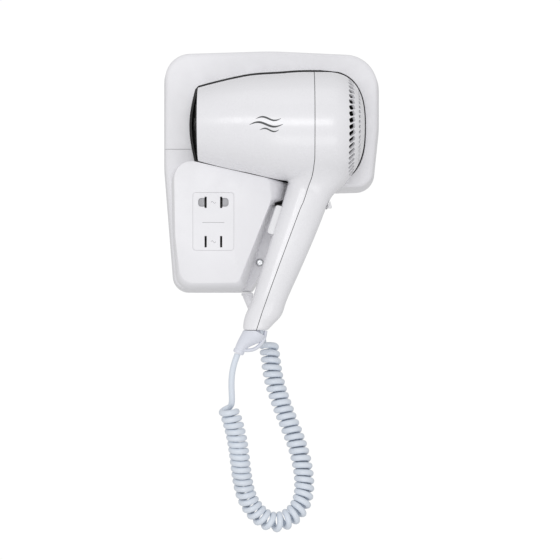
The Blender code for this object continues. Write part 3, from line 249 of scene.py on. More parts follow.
    def _pattern(self, tree: bpy.types.NodeTree, place: bpy.types.NodeSocket) -> bpy.types.NodeSocket:
        """The grain itself, from 0 to 1.

        Args:
            tree: the material's nodes.
            place: the coordinates it reads.

        Returns:
            The grain's value socket.
        """
        if self.grain in (Grain.LAMINATED, Grain.WOUND):
            node = tree.nodes.new("ShaderNodeTexWave")
            node.wave_type = "BANDS"
            node.bands_direction = "Y" if self.grain is Grain.LAMINATED else "Z"
            node.inputs["Scale"].default_value = 0.5 / self.grain_size
            node.inputs["Distortion"].default_value = 0.4
            tree.links.new(place, node.inputs["Vector"])
            return node.outputs["Fac"]
        if self.grain is Grain.BRUSHED:
            stretched = tree.nodes.new("ShaderNodeMapping")
            stretched.inputs["Scale"].default_value = (1.0, 1.0, 12.0)
            tree.links.new(place, stretched.inputs["Vector"])
            return self._noise(tree, stretched.outputs["Vector"], self.grain_size * 3.0, 6.0)
        if self.grain is Grain.SPARK:
            node = tree.nodes.new("ShaderNodeTexVoronoi")
            node.inputs["Scale"].default_value = 1.0 / self.grain_size
            tree.links.new(place, node.inputs["Vector"])
            return node.outputs["Distance"]
        return self._noise(tree, place, self.grain_size, 4.0)

    def _relief(self, tree: bpy.types.NodeTree, place: bpy.types.NodeSocket) -> bpy.types.NodeSocket:
        """The grain with the slow waviness that a moulded wall shrinks into.

        Args:
            tree: the material's nodes.
            place: the coordinates it reads.

        Returns:
            The height's socket.
        """
        total = tree.nodes.new("ShaderNodeMath")
        total.operation = "ADD"
        tree.links.new(self._pattern(tree, place), total.inputs[0])
        tree.links.new(self._range(tree, self._noise(tree, place, 0.02, 1.0), 0.0, 1.0), total.inputs[1])
        return total.outputs["Value"]


# The white shells and covers get painted shade in their creases.
WHITE_SHELL = Finish("white_gloss_abs", (0.845, 0.842, 0.872), 0.27, spread=0.012, grain_size=0.0009,
                     grain_depth=0.000006, coat=0.25, crease_shade=0.14)
WHITE_COVER = Finish("white_satin_abs", (0.850, 0.846, 0.876), 0.36, Grain.SPARK, spread=0.014,
                     grain_size=0.0007, grain_depth=0.000010, crease_shade=0.16)
SWITCH_WHITE = Finish("switch_white", (0.800, 0.800, 0.824), 0.42, Grain.SPARK, grain_size=0.0005,
                      grain_depth=0.00001)
PANEL_WHITE = Finish("panel_satin_abs", (0.850, 0.846, 0.876), 0.40, Grain.SPARK, spread=0.01,
                     grain_size=0.0005, grain_depth=0.000010)
SOCKET_GREY = Finish("socket_block_grey", (0.47, 0.47, 0.49), 0.55, Grain.SPARK, grain_size=0.0006,
                     grain_depth=0.00002)
# The seam tongue is painted dark grey as the shade in the seam's gap; the real lip is the housing's white
# plastic.
TONGUE_SEAM_SHADE = Finish("tongue_seam_shade", (0.115, 0.115, 0.117), 0.6, Grain.SPARK, grain_size=0.0006,
                     grain_depth=0.00002)
# Black liner of the recess; its black also stands in as painted shade of the gap round the barrel.
LINER_BLACK_AND_GAP_SHADE = Finish("liner_black_and_gap_shade", (0.010, 0.010, 0.0095), 0.55, Grain.SPARK, spread=0.2, grain_size=0.0006,
                     grain_depth=0.00002)
GRILLE_BLACK = Finish("grille_black", (0.012, 0.012, 0.011), 0.38, Grain.SPARK, spread=0.2,
                      grain_size=0.0005, grain_depth=0.00002)
MESH_BLACK = Finish("filter_black", (0.014, 0.014, 0.014), 0.6, Grain.FLECKED, spread=0.3, grain_size=0.0010,
                    grain_depth=0.0001)
PLATE_GREY = Finish("back_plate_grey", (0.56, 0.56, 0.58), 0.6, Grain.SPARK, spread=0.05, grain_size=0.0009,
                    grain_depth=0.00004)
STEEL = Finish("zinc_steel", (0.58, 0.59, 0.61), 0.28, Grain.BRUSHED, 1.0, spread=0.08, grain_size=0.0002,
               grain_depth=0.00001)
CORE_STEEL = Finish("laminated_core", (0.40, 0.41, 0.43), 0.42, Grain.LAMINATED, 1.0, spread=0.08,
                    grain_size=0.0005, grain_depth=0.00003)
# The socket contacts are brass, painted dark grey as the shade behind the pin slots.
CONTACT_PAINTED_SHADE = Finish("contact_painted_shade", (0.16, 0.155, 0.15), 0.5, Grain.BRUSHED, 0.8, spread=0.12,
                        grain_size=0.0002, grain_depth=0.00001)
COPPER = Finish("copper_wire", (0.60, 0.27, 0.13), 0.36, Grain.WOUND, 1.0, spread=0.1, grain_size=0.0005,
                grain_depth=0.00012)
HEATER_WIRE = Finish("heater_wire", (0.33, 0.31, 0.30), 0.45, Grain.BRUSHED, 1.0, spread=0.15,
                     grain_size=0.0003, grain_depth=0.00002)
MICA = Finish("mica_sheet", (0.56, 0.50, 0.40), 0.5, Grain.FLECKED, spread=0.15, grain_size=0.0014,
              grain_depth=0.00004)
CORD_SHEATH = Finish("cord_vinyl", (0.730, 0.785, 0.865), 0.36, spread=0.02, roughness_spread=0.05,
                     grain_size=0.0008, grain_depth=0.00002, coat=0.15)
# The gland also gets painted shade in its creases.
GLAND_RUBBER = Finish("gland_vinyl", (0.755, 0.775, 0.850), 0.40, Grain.SPARK, spread=0.02,
                      grain_size=0.0006, grain_depth=0.000015, crease_shade=0.15)
MARK_INK = Finish("mark_ink", (0.060, 0.064, 0.068), 0.5, Grain.PRINTED, spread=0.2, grain_size=0.0004,
                  grain_depth=0.000005)
PANEL_INK = Finish("panel_ink", (0.30, 0.30, 0.31), 0.55, Grain.PRINTED, spread=0.2, grain_size=0.0004,
                   grain_depth=0.000005)


# ---------------------------------------------------------------- outlines
def rounded(corners: Sequence[Corner], steps: int = 10) -> list[Vector]:
    """A closed outline whose corners are arcs.

    Args:
        corners: (x, z, radius) of each corner, in millimetres.
        steps: how many chords each arc has.

    Returns:
        The outline's points.
    """
    outline = []
    for index, (x, z, radius) in enumerate(corners):
        corner = Vector((x, z))
        back = Vector(corners[index - 1][:2]) - corner
        ahead = Vector(corners[(index + 1) % len(corners)][:2]) - corner
        half_angle = back.angle(ahead) / 2.0
        reach = min(radius / math.tan(half_angle), 0.48 * back.length, 0.48 * ahead.length)
        back.normalize()
        ahead.normalize()
        arc_radius = reach * math.tan(half_angle)
        centre = corner + (back + ahead).normalized() * arc_radius / math.sin(half_angle)
        start = corner + back * reach - centre
        end = corner + ahead * reach - centre
        outline += [centre + start.slerp(end, step / steps) * arc_radius for step in range(steps + 1)]
    return outline


def inset(corners: Sequence[Corner], distance: float) -> list[Corner]:
    """The same corners moved inwards, with their radii changed to match.

    Args:
        corners: (x, z, radius) of each corner, in millimetres.
        distance: how far to move them; below 0 moves them outwards.

    Returns:
        The moved corners.
    """
    around = list(zip([*corners[-1:], *corners[:-1]], corners, [*corners[1:], *corners[:1]]))
    turning = sum(Vector((b[0] - a[0], b[1] - a[1])).cross(Vector((c[0] - b[0], c[1] - b[1])))
                  for a, b, c in around)
    side = 1.0 if turning > 0.0 else -1.0
    moved = []
    for a, b, c in around:
        before = Vector((b[0] - a[0], b[1] - a[1])).normalized()
        after = Vector((c[0] - b[0], c[1] - b[1])).normalized()
        normals = [Vector((-edge.y, edge.x)) * side for edge in (before, after)]
        mitre = (normals[0] + normals[1]) / (1.0 + normals[0].dot(normals[1]))
        bends_out = before.cross(after) * side > 0.0
        radius = b[2] - distance if bends_out else b[2] + distance
        moved.append((b[0] + mitre.x * distance, b[1] + mitre.y * distance, max(radius, 0.5)))
    return moved


def smoothstep(value: float) -> float:
    """Eases from 0 to 1."""
    value = min(max(value, 0.0), 1.0)
    return value * value * (3.0 - 2.0 * value)


def through(points: Sequence[Sequence[float]], per_span: int) -> list[list[float]]:
    """Points on a smooth curve through points of any size.

    Args:
        points: the points it passes through.
        per_span: how many steps each span gets.

    Returns:
        The curve's points, the last one included.
    """
    known = [np.array(point, float) for point in points]
    known = [known[0] * 2.0 - known[1], *known, known[-1] * 2.0 - known[-2]]
    fine = []
    for a, b, c, d in zip(known, known[1:], known[2:], known[3:]):
        for step in range(per_span):
            t = step / per_span
            fine.append(0.5 * (2.0 * b + (c - a) * t + (2.0 * a - 5.0 * b + 4.0 * c - d) * t**2
                               + (3.0 * b - a - 3.0 * c + d) * t**3))
    fine.append(known[-2])
    return [list(point) for point in fine]


# ---------------------------------------------------------------- shapes, in millimetres
def loft(rings: Sequence[Sequence[Iterable[float]]], closed: bool = False) -> bmesh.types.BMesh:
    """A closed solid through rings of the same number of points.

    Args:
        rings: the rings, in order.
        closed: whether the last ring joins the first.

    Returns:
        The solid.
    """
    shape = bmesh.new()
    levels = [[shape.verts.new(point) for point in ring] for ring in rings]
    pairs = list(zip(levels, levels[1:]))
    if closed:
        pairs.append((levels[-1], levels[0]))
    else:
        shape.faces.new(levels[0])
        shape.faces.new(levels[-1])
    for lower, upper in pairs:
        for index, vertex in enumerate(lower):
            after = (index + 1) % len(lower)
            shape.faces.new((vertex, lower[after], upper[after], upper[index]))
    bmesh.ops.recalc_face_normals(shape, faces=shape.faces)
    return shape


def level_ring(outline: Sequence[Sequence[float]], depth: float) -> list[tuple[float, float, float]]:
    """An (x, z) outline placed at a distance in front of the wall."""
    return [(point[0], -depth, point[1]) for point in outline]


def prism(outline: Sequence[Sequence[float]], near: float, far: float) -> bmesh.types.BMesh:
    """An (x, z) outline extruded from one distance in front of the wall to another."""
    return loft([level_ring(outline, near), level_ring(outline, far)])


def circle_ring(centre: Vector, axis: Vector, radius: float, count: int) -> list[Vector]:
    """A ring of points round an axis through a centre.

    Args:
        centre: the middle of the ring.
        axis: the direction square to it.
        radius: its radius.
        count: how many points it has.

    Returns:
        The points.
    """
    turn = Vector((0.0, 0.0, 1.0)).rotation_difference(Vector(axis)).to_matrix()
    spokes = [2.0 * math.pi * index / count for index in range(count)]
    return [Vector(centre) + turn @ (Vector((math.cos(a), math.sin(a), 0.0)) * radius) for a in spokes]


def turned(base: Vector, axis: Vector, profile: Sequence[Point2], count: int = 32,
           closed: bool = False) -> bmesh.types.BMesh:
    """A solid turned about an axis.

    Args:
        base: where the profile's 0 lies.
        axis: the direction the profile runs in.
        profile: (distance along the axis, radius) pairs.
        count: how many sides it has.
        closed: whether the profile's ends join.

    Returns:
        The solid.
    """
    axis = Vector(axis).normalized()
    return loft([circle_ring(Vector(base) + axis * along, axis, radius, count) for along, radius in profile],
                closed)


def rod(start: Vector, end: Vector, radius: float, count: int = 24) -> bmesh.types.BMesh:
    """A plain round bar between two points."""
    axis = Vector(end) - Vector(start)
    return turned(start, axis, ((0.0, radius), (axis.length, radius)), count)


def swept(stations: Sequence[Sequence[float]], sides: int = 28, per_span: int = 6) -> bmesh.types.BMesh:
    """A solid through oval sections that lie square to a smooth path.

    Args:
        stations: (x, y, z, half width, half depth) of each section.
        sides: how many sides it has.
        per_span: how many steps are made between two stations.

    Returns:
        The solid.
    """
    fine = through(stations, per_span)
    rings = []
    for index, (x, y, z, wide, deep) in enumerate(fine):
        before = Vector(fine[max(index - 1, 0)][:3])
        after = Vector(fine[min(index + 1, len(fine) - 1)][:3])
        along = (after - before).normalized()
        across = Vector((0.0, 1.0, 0.0)).cross(along).normalized()
        depth = along.cross(across)
        turns = [2.0 * math.pi * corner / sides for corner in range(sides)]
        rings.append([Vector((x, y, z)) + across * wide * math.cos(a) + depth * deep * math.sin(a)
                      for a in turns])
    return loft(rings)


def combine(base: bmesh.types.BMesh, others: Sequence[bmesh.types.BMesh],
            operation: str) -> bmesh.types.BMesh:
    """The Boolean of one shape with each of the others, which it uses up.

    Args:
        base: the shape that is changed.
        others: what is taken from it, joined to it or kept of it.
        operation: DIFFERENCE, UNION or INTERSECT.

    Returns:
        The new shape.
    """
    holders = []
    for shape in (base, *others):
        mesh = bpy.data.meshes.new("working")
        shape.to_mesh(mesh)
        shape.free()
        holder = bpy.data.objects.new("working", mesh)
        bpy.context.scene.collection.objects.link(holder)
        holders.append(holder)
    for other in holders[1:]:
        modifier = holders[0].modifiers.new("working", "BOOLEAN")
        modifier.operation = operation
        modifier.solver = "EXACT"
        modifier.object = other
    result = bmesh.new()
    result.from_mesh(holders[0].evaluated_get(bpy.context.evaluated_depsgraph_get()).to_mesh())
    for holder in holders:
        mesh = holder.data
        bpy.data.objects.remove(holder, do_unlink=True)
        bpy.data.meshes.remove(mesh)
    bmesh.ops.remove_doubles(result, verts=result.verts, dist=0.0005)
    bmesh.ops.dissolve_degenerate(result, edges=result.edges, dist=0.0005)
    return result


def cut(base: bmesh.types.BMesh, *others: bmesh.types.BMesh) -> bmesh.types.BMesh:
    """base less every other shape."""
    return combine(base, others, "DIFFERENCE")


def join(base: bmesh.types.BMesh, *others: bmesh.types.BMesh) -> bmesh.types.BMesh:
    """base and every other shape as one body."""
    return combine(base, others, "UNION")


def keep(base: bmesh.types.BMesh, other: bmesh.types.BMesh) -> bmesh.types.BMesh:
    """The part of base that lies inside the other shape."""
    return combine(base, [other], "INTERSECT")


def pooled(shapes: Sequence[bmesh.types.BMesh]) -> bmesh.types.BMesh:
    """Shapes that don't touch, put side by side in one mesh.

    Args:
        shapes: the shapes, which are used up.

    Returns:
        The pooled mesh.
    """
    pool = bmesh.new()
    for shape in shapes:
        mesh = bpy.data.meshes.new("working")
        shape.to_mesh(mesh)
        shape.free()
        pool.from_mesh(mesh)
        bpy.data.meshes.remove(mesh)
    return pool


def place_piece(name: str, shape: bmesh.types.BMesh, finish: Finish, body: str, nodes: Sequence[str] = (),
                sharp: float = 34.0, bevel: float = 0.0) -> bpy.types.Object:
    """Turns a shape in millimetres into a piece of the dryer that rides on a body.

    Args:
        name: the piece's name.
        shape: its shape, which is used up.
        finish: what it is made of.
        body: the body it moves with.
        nodes: the frame's nodes that it stands for.
        sharp: edges that turn by more degrees than this stay sharp.
        bevel: the width of the radius on its sharp edges, in millimetres.

    Returns:
        The piece.
    """
    bmesh.ops.scale(shape, vec=(MM, MM, MM), verts=shape.verts)
    mesh = bpy.data.meshes.new(name)
    shape.to_mesh(mesh)
    shape.free()
    mesh.shade_smooth()
    mesh.set_sharp_from_angle(angle=math.radians(sharp))
    mesh.materials.append(finish.material())
    piece = bpy.data.objects.new(name, mesh)
    bpy.context.scene.collection.objects.link(piece)
    if bevel > 0.0:
        softened = piece.modifiers.new("edge_radius", "BEVEL")
        softened.width = bevel * MM
        softened.segments = 3
        softened.limit_method = "ANGLE"
        softened.angle_limit = math.radians(sharp)
        softened.harden_normals = True
    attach(piece, body)
    if nodes:
        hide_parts(*nodes)
    LOG.info("%s: %d faces on %s", name, len(mesh.polygons), body)
    return piece


def dress(node: str, finish: Finish) -> None:
    """Gives a node of the frame its finish, and leaves its shape alone.

    Args:
        node: the node's name.
        finish: what it is made of.
    """
    target = frame["nodes"][node]
    target.data.materials.clear()
    target.data.materials.append(finish.material())
    LOG.info("%s: carried over in %s", node, finish.name)


# ---------------------------------------------------------------- handset
@dataclass
class Barrel:
    """The handset's barrel, turned about a level axis; sizes in millimetres."""

    axis_depth: float = 64.0
    axis_height: float = 34.0
    radius: float = 44.7
    nose_radius: float = 29.9
    nose_x: float = -59.6
    nose_rise: float = 2.1
    shoulder_x: float = 28.0
    dome_x: float = 42.0
    rear_x: float = 76.3
    wall: float = 2.2
    taper_power: float = 1.65
    dome_power: float = 2.7

    def radius_at(self, x: float, less: float = 0.0) -> float:
        """Radius of the outside at x, less a wall.

        Args:
            x: place along the barrel.
            less: how far inside the outside it lies.

        Returns:
            The radius.
        """
        if x <= self.shoulder_x:
            share = (self.shoulder_x - x) / (self.shoulder_x - self.nose_x)
            return self.radius - (self.radius - self.nose_radius) * share**self.taper_power - less
        if x <= self.dome_x:
            return self.radius - less
        share = min((x - self.dome_x) / (self.rear_x - less - self.dome_x), 1.0)
        return (self.radius - less) * (1.0 - share**self.dome_power) ** (1.0 / self.dome_power)

    def centre_at(self, x: float) -> float:
        """Height of the centre line at x: the nose rises a little."""
        return self.axis_height + self.nose_rise * smoothstep((12.0 - x) / 34.0)

    def point(self, x: float, turn: float, proud: float = 0.0) -> Vector:
        """A point on the outside: turn 0 faces the viewer and a quarter turn faces up.

        Args:
            x: place along the barrel.
            turn: place round the barrel.
            proud: how far off the outside it lies.

        Returns:
            The point.
        """
        radius = self.radius_at(x) + proud
        height = self.centre_at(x) + radius * math.sin(turn)
        return Vector((x, -self.axis_depth - radius * math.cos(turn), height))

    def front_depth(self, x: float, z: float) -> float:
        """How far in front of the wall the barrel's face lies at (x, z)."""
        rise = z - self.centre_at(x)
        return self.axis_depth + math.sqrt(max(self.radius_at(x) ** 2 - rise**2, 0.0))

    def solid(self, less: float = 0.0, start: float = -59.6, sides: int = 64) -> bmesh.types.BMesh:
        """The full outer shape, less a wall.

        Args:
            less: how far inside the outside it lies.
            start: where it begins at the nose.
            sides: how many sides it has.

        Returns:
            The solid.
        """
        front = [start + (self.shoulder_x - start) * step / 16.0 for step in range(17)]
        dome = [self.dome_x + (self.rear_x - less - self.dome_x) * math.sin(math.radians(angle))
                for angle in (0, 10, 20, 30, 40, 49, 57, 64, 70, 76, 81, 85, 88)]
        return loft([circle_ring(Vector((x, -self.axis_depth, self.centre_at(x))), Vector((1.0, 0.0, 0.0)),
                                 self.radius_at(x, less), sides) for x in front + dome])

    def distance(self, points: np.ndarray) -> np.ndarray:
        """Roughly how far points lie outside the barrel.

        Args:
            points: an array of (x, y, z) rows.

        Returns:
            The distances, below 0 inside.
        """
        x = points[:, 0]
        ease = np.clip((12.0 - x) / 34.0, 0.0, 1.0)
        centre = self.axis_height + self.nose_rise * ease * ease * (3.0 - 2.0 * ease)
        away = np.hypot(points[:, 1] + self.axis_depth, points[:, 2] - centre)
        share = np.clip((self.shoulder_x - x) / (self.shoulder_x - self.nose_x), 0.0, None)
        side = away - (self.radius - (self.radius - self.nose_radius) * share**self.taper_power)
        past = np.clip((x - self.dome_x) / (self.rear_x - self.dome_x), 0.0, None)
        scale = (past**self.dome_power + (away / self.radius) ** self.dome_power) ** (1.0 / self.dome_power)
        reach = np.hypot(np.clip(x - self.dome_x, 0.0, None), away)
        return np.where(x <= self.dome_x, side, reach * (1.0 - 1.0 / np.maximum(scale, 1e-6)))


@dataclass
class Handle:
    """The handset's handle, through level sections; sizes in millimetres."""

    axis_depth: float = 64.0
    squareness: float = 2.4
    sections: tuple[tuple[float, float, float, float], ...] = (
        (14.0, 21.0, 56.0, 14.0),
        (-9.0, 14.8, 57.9, 17.0),
        (-26.5, 9.7, 47.6, 16.5),
        (-55.0, 0.7, 35.9, 15.5),
        (-80.5, -7.5, 24.9, 15.0),
        (-106.6, -15.5, 13.2, 14.5),
        (-119.5, -21.0, 8.6, 12.5),
        (-127.0, -22.8, 2.0, 10.5),
        (-132.0, -22.9, -2.8, 9.5),
    )

    def section_at(self, heights: np.ndarray) -> tuple[np.ndarray, np.ndarray, np.ndarray]:
        """Left, right and half depth at some heights.

        Args:
            heights: the heights.

        Returns:
            One array for each of the three.
        """
        fine = np.array(through(self.sections, 8))[::-1]
        return tuple(np.interp(heights, fine[:, 0], fine[:, column]) for column in (1, 2, 3))

    def solid(self, less: float = 0.0, sides: int = 40) -> bmesh.types.BMesh:
        """The outer shape, less a wall at its sides and its lower end.

        Args:
            less: how far inside the outside it lies.
            sides: how many sides it has.

        Returns:
            The solid.
        """
        rings = []
        fine = through(self.sections, 5)
        for index, (height, left, right, deep) in enumerate(fine):
            lift = less if index == len(fine) - 1 else 0.0
            ring = []
            for corner in range(sides):
                angle = 2.0 * math.pi * corner / sides
                across, along = (math.copysign(abs(value) ** (2.0 / self.squareness), value)
                                 for value in (math.cos(angle), math.sin(angle)))
                ring.append(((left + right) / 2.0 + across * ((right - left) / 2.0 - less),
                             -self.axis_depth + along * (deep - less), height + lift))
            rings.append(ring)
        return loft(rings)

    def distance(self, points: np.ndarray) -> np.ndarray:
        """Roughly how far points lie outside the handle.

        Args:
            points: an array of (x, y, z) rows.

        Returns:
            The distances, below 0 inside.
        """
        left, right, deep = self.section_at(points[:, 2])
        across = points[:, 0] - (left + right) / 2.0
        along = points[:, 1] + self.axis_depth
        power = self.squareness
        wide = (right - left) / 2.0
        scale = ((np.abs(across) / wide) ** power + (np.abs(along) / deep) ** power) ** (1 / power)
        around = np.hypot(across, along) * (1.0 - 1.0 / np.maximum(scale, 1e-6))
        return np.maximum(around, points[:, 2] - self.sections[0][0])

    def side_frame(self, height: float, length: float, side: int) -> tuple[Vector, Vector, Vector]:
        """A straight frame on one side of the handle.

        Args:
            height: the height of its top.
            length: how far down it is measured.
            side: 0 for the left side and 1 for the right.

        Returns:
            Its top point, the direction down it, and the direction out of the handle.
        """
        ends = []
        for level in (height, height - length):
            edge = [np.interp(level, *np.array([(s[0], s[1 + side]) for s in self.sections[::-1]]).T)]
            ends.append(Vector((float(edge[0]), -self.axis_depth, level)))
        down = (ends[1] - ends[0]).normalized()
        outward = Vector((down.z, 0.0, -down.x)) if side == 0 else Vector((-down.z, 0.0, down.x))
        return ends[0], down, outward


def sloped_block(place: tuple[Vector, Vector, Vector], along: Point2, out: Point2,
                 half_width: float) -> bmesh.types.BMesh:
    """A box in a side frame.

    Args:
        place: the frame's top point, its direction down and its direction out.
        along: from and to down the frame.
        out: from and to away from the handle.
        half_width: half its width across the handle.

    Returns:
        The box.
    """
    top, down, outward = place
    corners = [top + down * a + outward * b for a, b in
               ((along[0], out[0]), (along[1], out[0]), (along[1], out[1]), (along[0], out[1]))]
    return loft([[point + Vector((0.0, y, 0.0)) for point in corners] for y in (-half_width, half_width)])


@dataclass
class Handset:
    """Front and rear housings, with the slots, the seam and the printed mark; sizes in millimetres."""

    barrel: Barrel = field(default_factory=Barrel)
    handle: Handle = field(default_factory=Handle)
    seam_x: float = 35.0
    seam_gap: float = 0.56
    skin_step: float = 1.3
    blend_outer: float = 15.0
    blend_inner: float = 2.5
    slot_count: int = 46
    slot_rows: tuple[tuple[float, float, float], ...] = ((65.0, 3.9, 6.6), (71.4, 2.5, 4.2))
    slot_slant: float = 0.42
    screw_heights: tuple[float, float] = (-70.0, -108.0)
    screw_pocket: float = 3.3
    cord_hole: float = 4.4
    tongue_level: float = 1.1
    tongue_reach: float = 1.4

    def distance(self, points: np.ndarray) -> np.ndarray:
        """How far points lie outside barrel and handle, with the crotch filled to a soft radius.

        Args:
            points: an array of (x, y, z) rows.

        Returns:
            The distances, below 0 inside.
        """
        first = self.barrel.distance(points)
        second = self.handle.distance(points)
        ease = np.clip((points[:, 0] - 14.0) / 22.0, 0.0, 1.0)
        width = self.blend_inner + (self.blend_outer - self.blend_inner) * ease * ease * (3.0 - 2.0 * ease)
        share = np.clip(0.5 + 0.5 * (second - first) / width, 0.0, 1.0)
        return second * (1.0 - share) + first * share - width * share * (1.0 - share)

    def skin(self) -> bmesh.types.BMesh:
        """Barrel and handle as one solid with an even mesh that lies on the blended surface.

        Returns:
            The solid, still closed at the nose.
        """
        start = self.barrel.nose_x - 4.0
        rough = join(self.barrel.solid(0.0, start), self.handle.solid())
        mesh = bpy.data.meshes.new("working")
        rough.to_mesh(mesh)
        rough.free()
        holder = bpy.data.objects.new("working", mesh)
        bpy.context.scene.collection.objects.link(holder)
        remesh = holder.modifiers.new("even", "REMESH")
        remesh.mode = "VOXEL"
        remesh.voxel_size = self.skin_step
        even = bmesh.new()
        even.from_mesh(holder.evaluated_get(bpy.context.evaluated_depsgraph_get()).to_mesh())
        bpy.data.objects.remove(holder, do_unlink=True)
        bpy.data.meshes.remove(mesh)
        even.verts.ensure_lookup_table()
        points = np.array([vertex.co for vertex in even.verts], float)
        ends = np.array([[vertex.index for vertex in edge.verts] for edge in even.edges])
        points = self._settled(points, ends)
        for vertex, point in zip(even.verts, points):
            vertex.co = point
        return even

    def _settled(self, points: np.ndarray, ends: np.ndarray) -> np.ndarray:
        """Evens out the mesh and draws it onto the blended surface, except at its two flat ends.

        Args:
            points: the vertices.
            ends: the two vertices of each edge.

        Returns:
            The moved vertices.
        """
        flat = (points[:, 0] < self.barrel.nose_x - 2.0) | (points[:, 2] < -131.2)
        count = np.bincount(ends.reshape(-1), minlength=len(points)).astype(float)[:, None]
        for _ in range(10):
            middle = np.zeros_like(points)
            np.add.at(middle, ends[:, 0], points[ends[:, 1]])
            np.add.at(middle, ends[:, 1], points[ends[:, 0]])
            drift = 0.5 * (middle / np.maximum(count, 1.0) - points)
            moved = self._drawn(points + drift)
            points = np.where(flat[:, None], points, moved)
        return points

    def _drawn(self, points: np.ndarray) -> np.ndarray:
        """Points moved straight onto the blended surface.

        Args:
            points: an array of (x, y, z) rows.

        Returns:
            The moved points.
        """
        step = 0.02
        for _ in range(2):
            here = self.distance(points)
            shifted = [self.distance(points + shift) for shift in np.eye(3) * step]
            slope = np.stack([(there - here) / step for there in shifted], 1)
            size = np.maximum((slope**2).sum(1), 0.05)
            points = points - slope * np.clip(here / size, -1.5, 1.5)[:, None]
        return points

    def seam_side(self, side: int) -> bmesh.types.BMesh:
        """Clip on one side of the seam: -1 in front of it and +1 behind it."""
        far = 160.0 * side
        return prism([*self.seam_line(side * self.seam_gap / 2.0), (far, -160.0), (far, 120.0)], 0.0, 150.0)

    def seam_line(self, shift: float) -> list[Point2]:
        """The seam between the housings from top to bottom, moved along the barrel by a shift.

        Args:
            shift: how far it is moved towards the rear.

        Returns:
            Its (x, z) points.
        """
        line = ((0.0, 5.7), (-1.7, -6.4), (-4.9, -15.7), (-9.0, -28.2), (-14.9, -42.7), (-47.0, -132.0),
                (-49.0, -160.0))
        start = self.seam_x + shift
        return [(start, 120.0), *((start + x, z) for x, z in through(line, 5))]

    def build_tongue(self) -> None:
        """The lip behind the seam that one housing slides over, in dark grey as painted shade of the seam's
        gap.
        """
        barrel, handle, level = self.barrel, self.handle, self.tongue_level
        near_side = self.seam_line(-self.tongue_reach)
        far_side = self.seam_line(self.tongue_reach)
        band = prism([*near_side, *reversed(far_side)], 0.0, 150.0)
        outer = join(barrel.solid(level, barrel.nose_x + 20.0), handle.solid(level))
        inner = join(barrel.solid(level + 0.7, barrel.nose_x + 10.0), handle.solid(level + 0.7))
        place_piece("seam_tongue", keep(cut(outer, inner), band), TONGUE_SEAM_SHADE, "handset")

    def slot_cutter(self, x: float, turn: float, width: float, length: float) -> bmesh.types.BMesh:
        """A round-cornered bar that cuts one intake slot square to the dome.

        Args:
            x: where the slot's middle lies along the barrel.
            turn: its place round the barrel.
            width: its width round the barrel.
            length: its length along the dome.

        Returns:
            The bar.
        """
        here = self.barrel.point(x, turn)
        along = (self.barrel.point(x + 0.4, turn) - self.barrel.point(x - 0.4, turn)).normalized()
        around = Vector((0.0, math.sin(turn), math.cos(turn)))
        out = along.cross(around).normalized()
        slant = self.slot_slant
        long_way = along * math.cos(slant) + around * math.sin(slant)
        short_way = around * math.cos(slant) - along * math.sin(slant)
        corner = width * 0.36
        box = [(-length / 2, -width / 2, corner), (length / 2, -width / 2, corner),
               (length / 2, width / 2, corner), (-length / 2, width / 2, corner)]
        outline = rounded(box, 4)
        return loft([[here + long_way * p[0] + short_way * p[1] + out * level for p in outline]
                     for level in (-4.6, 4.6)])

    def build(self) -> None:
        """Builds both housings and the mark, and finishes them."""
        barrel, handle = self.barrel, self.handle
        depth = barrel.axis_depth
        nose_block = rod(Vector((barrel.nose_x - 12.0, -depth, barrel.axis_height)),
                         Vector((barrel.nose_x, -depth, barrel.axis_height)), barrel.radius)
        hollow = join(barrel.solid(barrel.wall, barrel.nose_x - 6.0), handle.solid(barrel.wall))
        last = handle.sections[-1]
        hole_x = (last[1] + last[2]) / 2.0
        cord_hole = rod(Vector((hole_x, -depth, last[0] - 3.0)), Vector((hole_x, -depth, last[0] + 6.0)),
                        self.cord_hole)
        shell = cut(self.skin(), hollow, cord_hole, nose_block)
        spare = shell.copy()
        front = cut(keep(shell, self.seam_side(-1)), self.paddle_window(), *self.screw_pockets())
        place_piece("front_shell", front, WHITE_SHELL, "handset", ["front_housing"])
        slots = [self.slot_cutter(x, 2.0 * math.pi * (index + 0.5) / self.slot_count, width, length)
                 for x, width, length in self.slot_rows for index in range(self.slot_count)]
        rear = cut(keep(spare, self.seam_side(1)), self.thumb_slot(), pooled(slots))
        place_piece("rear_shell", rear, WHITE_SHELL, "handset", ["rear_housing"])
        self.build_tongue()
        self.build_mark()

    def paddle_window(self) -> bmesh.types.BMesh:
        """The opening that the front paddle works in."""
        return sloped_block(self.handle.side_frame(-31.0, 24.0, 0), (-0.6, 24.6), (-5.0, 4.0), 6.6)

    def thumb_slot(self) -> bmesh.types.BMesh:
        """The slot that the thumb slide's stem runs in."""
        return sloped_block(self.handle.side_frame(-26.5, 16.0, 1), (2.4, 13.6), (-6.0, 6.0), 2.6)

    def screw_pockets(self) -> list[bmesh.types.BMesh]:
        """Round pockets for the two screws that pull the housings together.

        Returns:
            The cutters for head and shank of each screw.
        """
        pockets = []
        for height in self.screw_heights:
            top, down, outward = self.handle.side_frame(height, 8.0, 0)
            head = top + down * 4.0
            pockets.append(rod(head + outward * 3.0, head - outward * 3.0, self.screw_pocket))
            pockets.append(rod(head + outward * 2.0, head - outward * 20.0, 1.7))
        return pockets

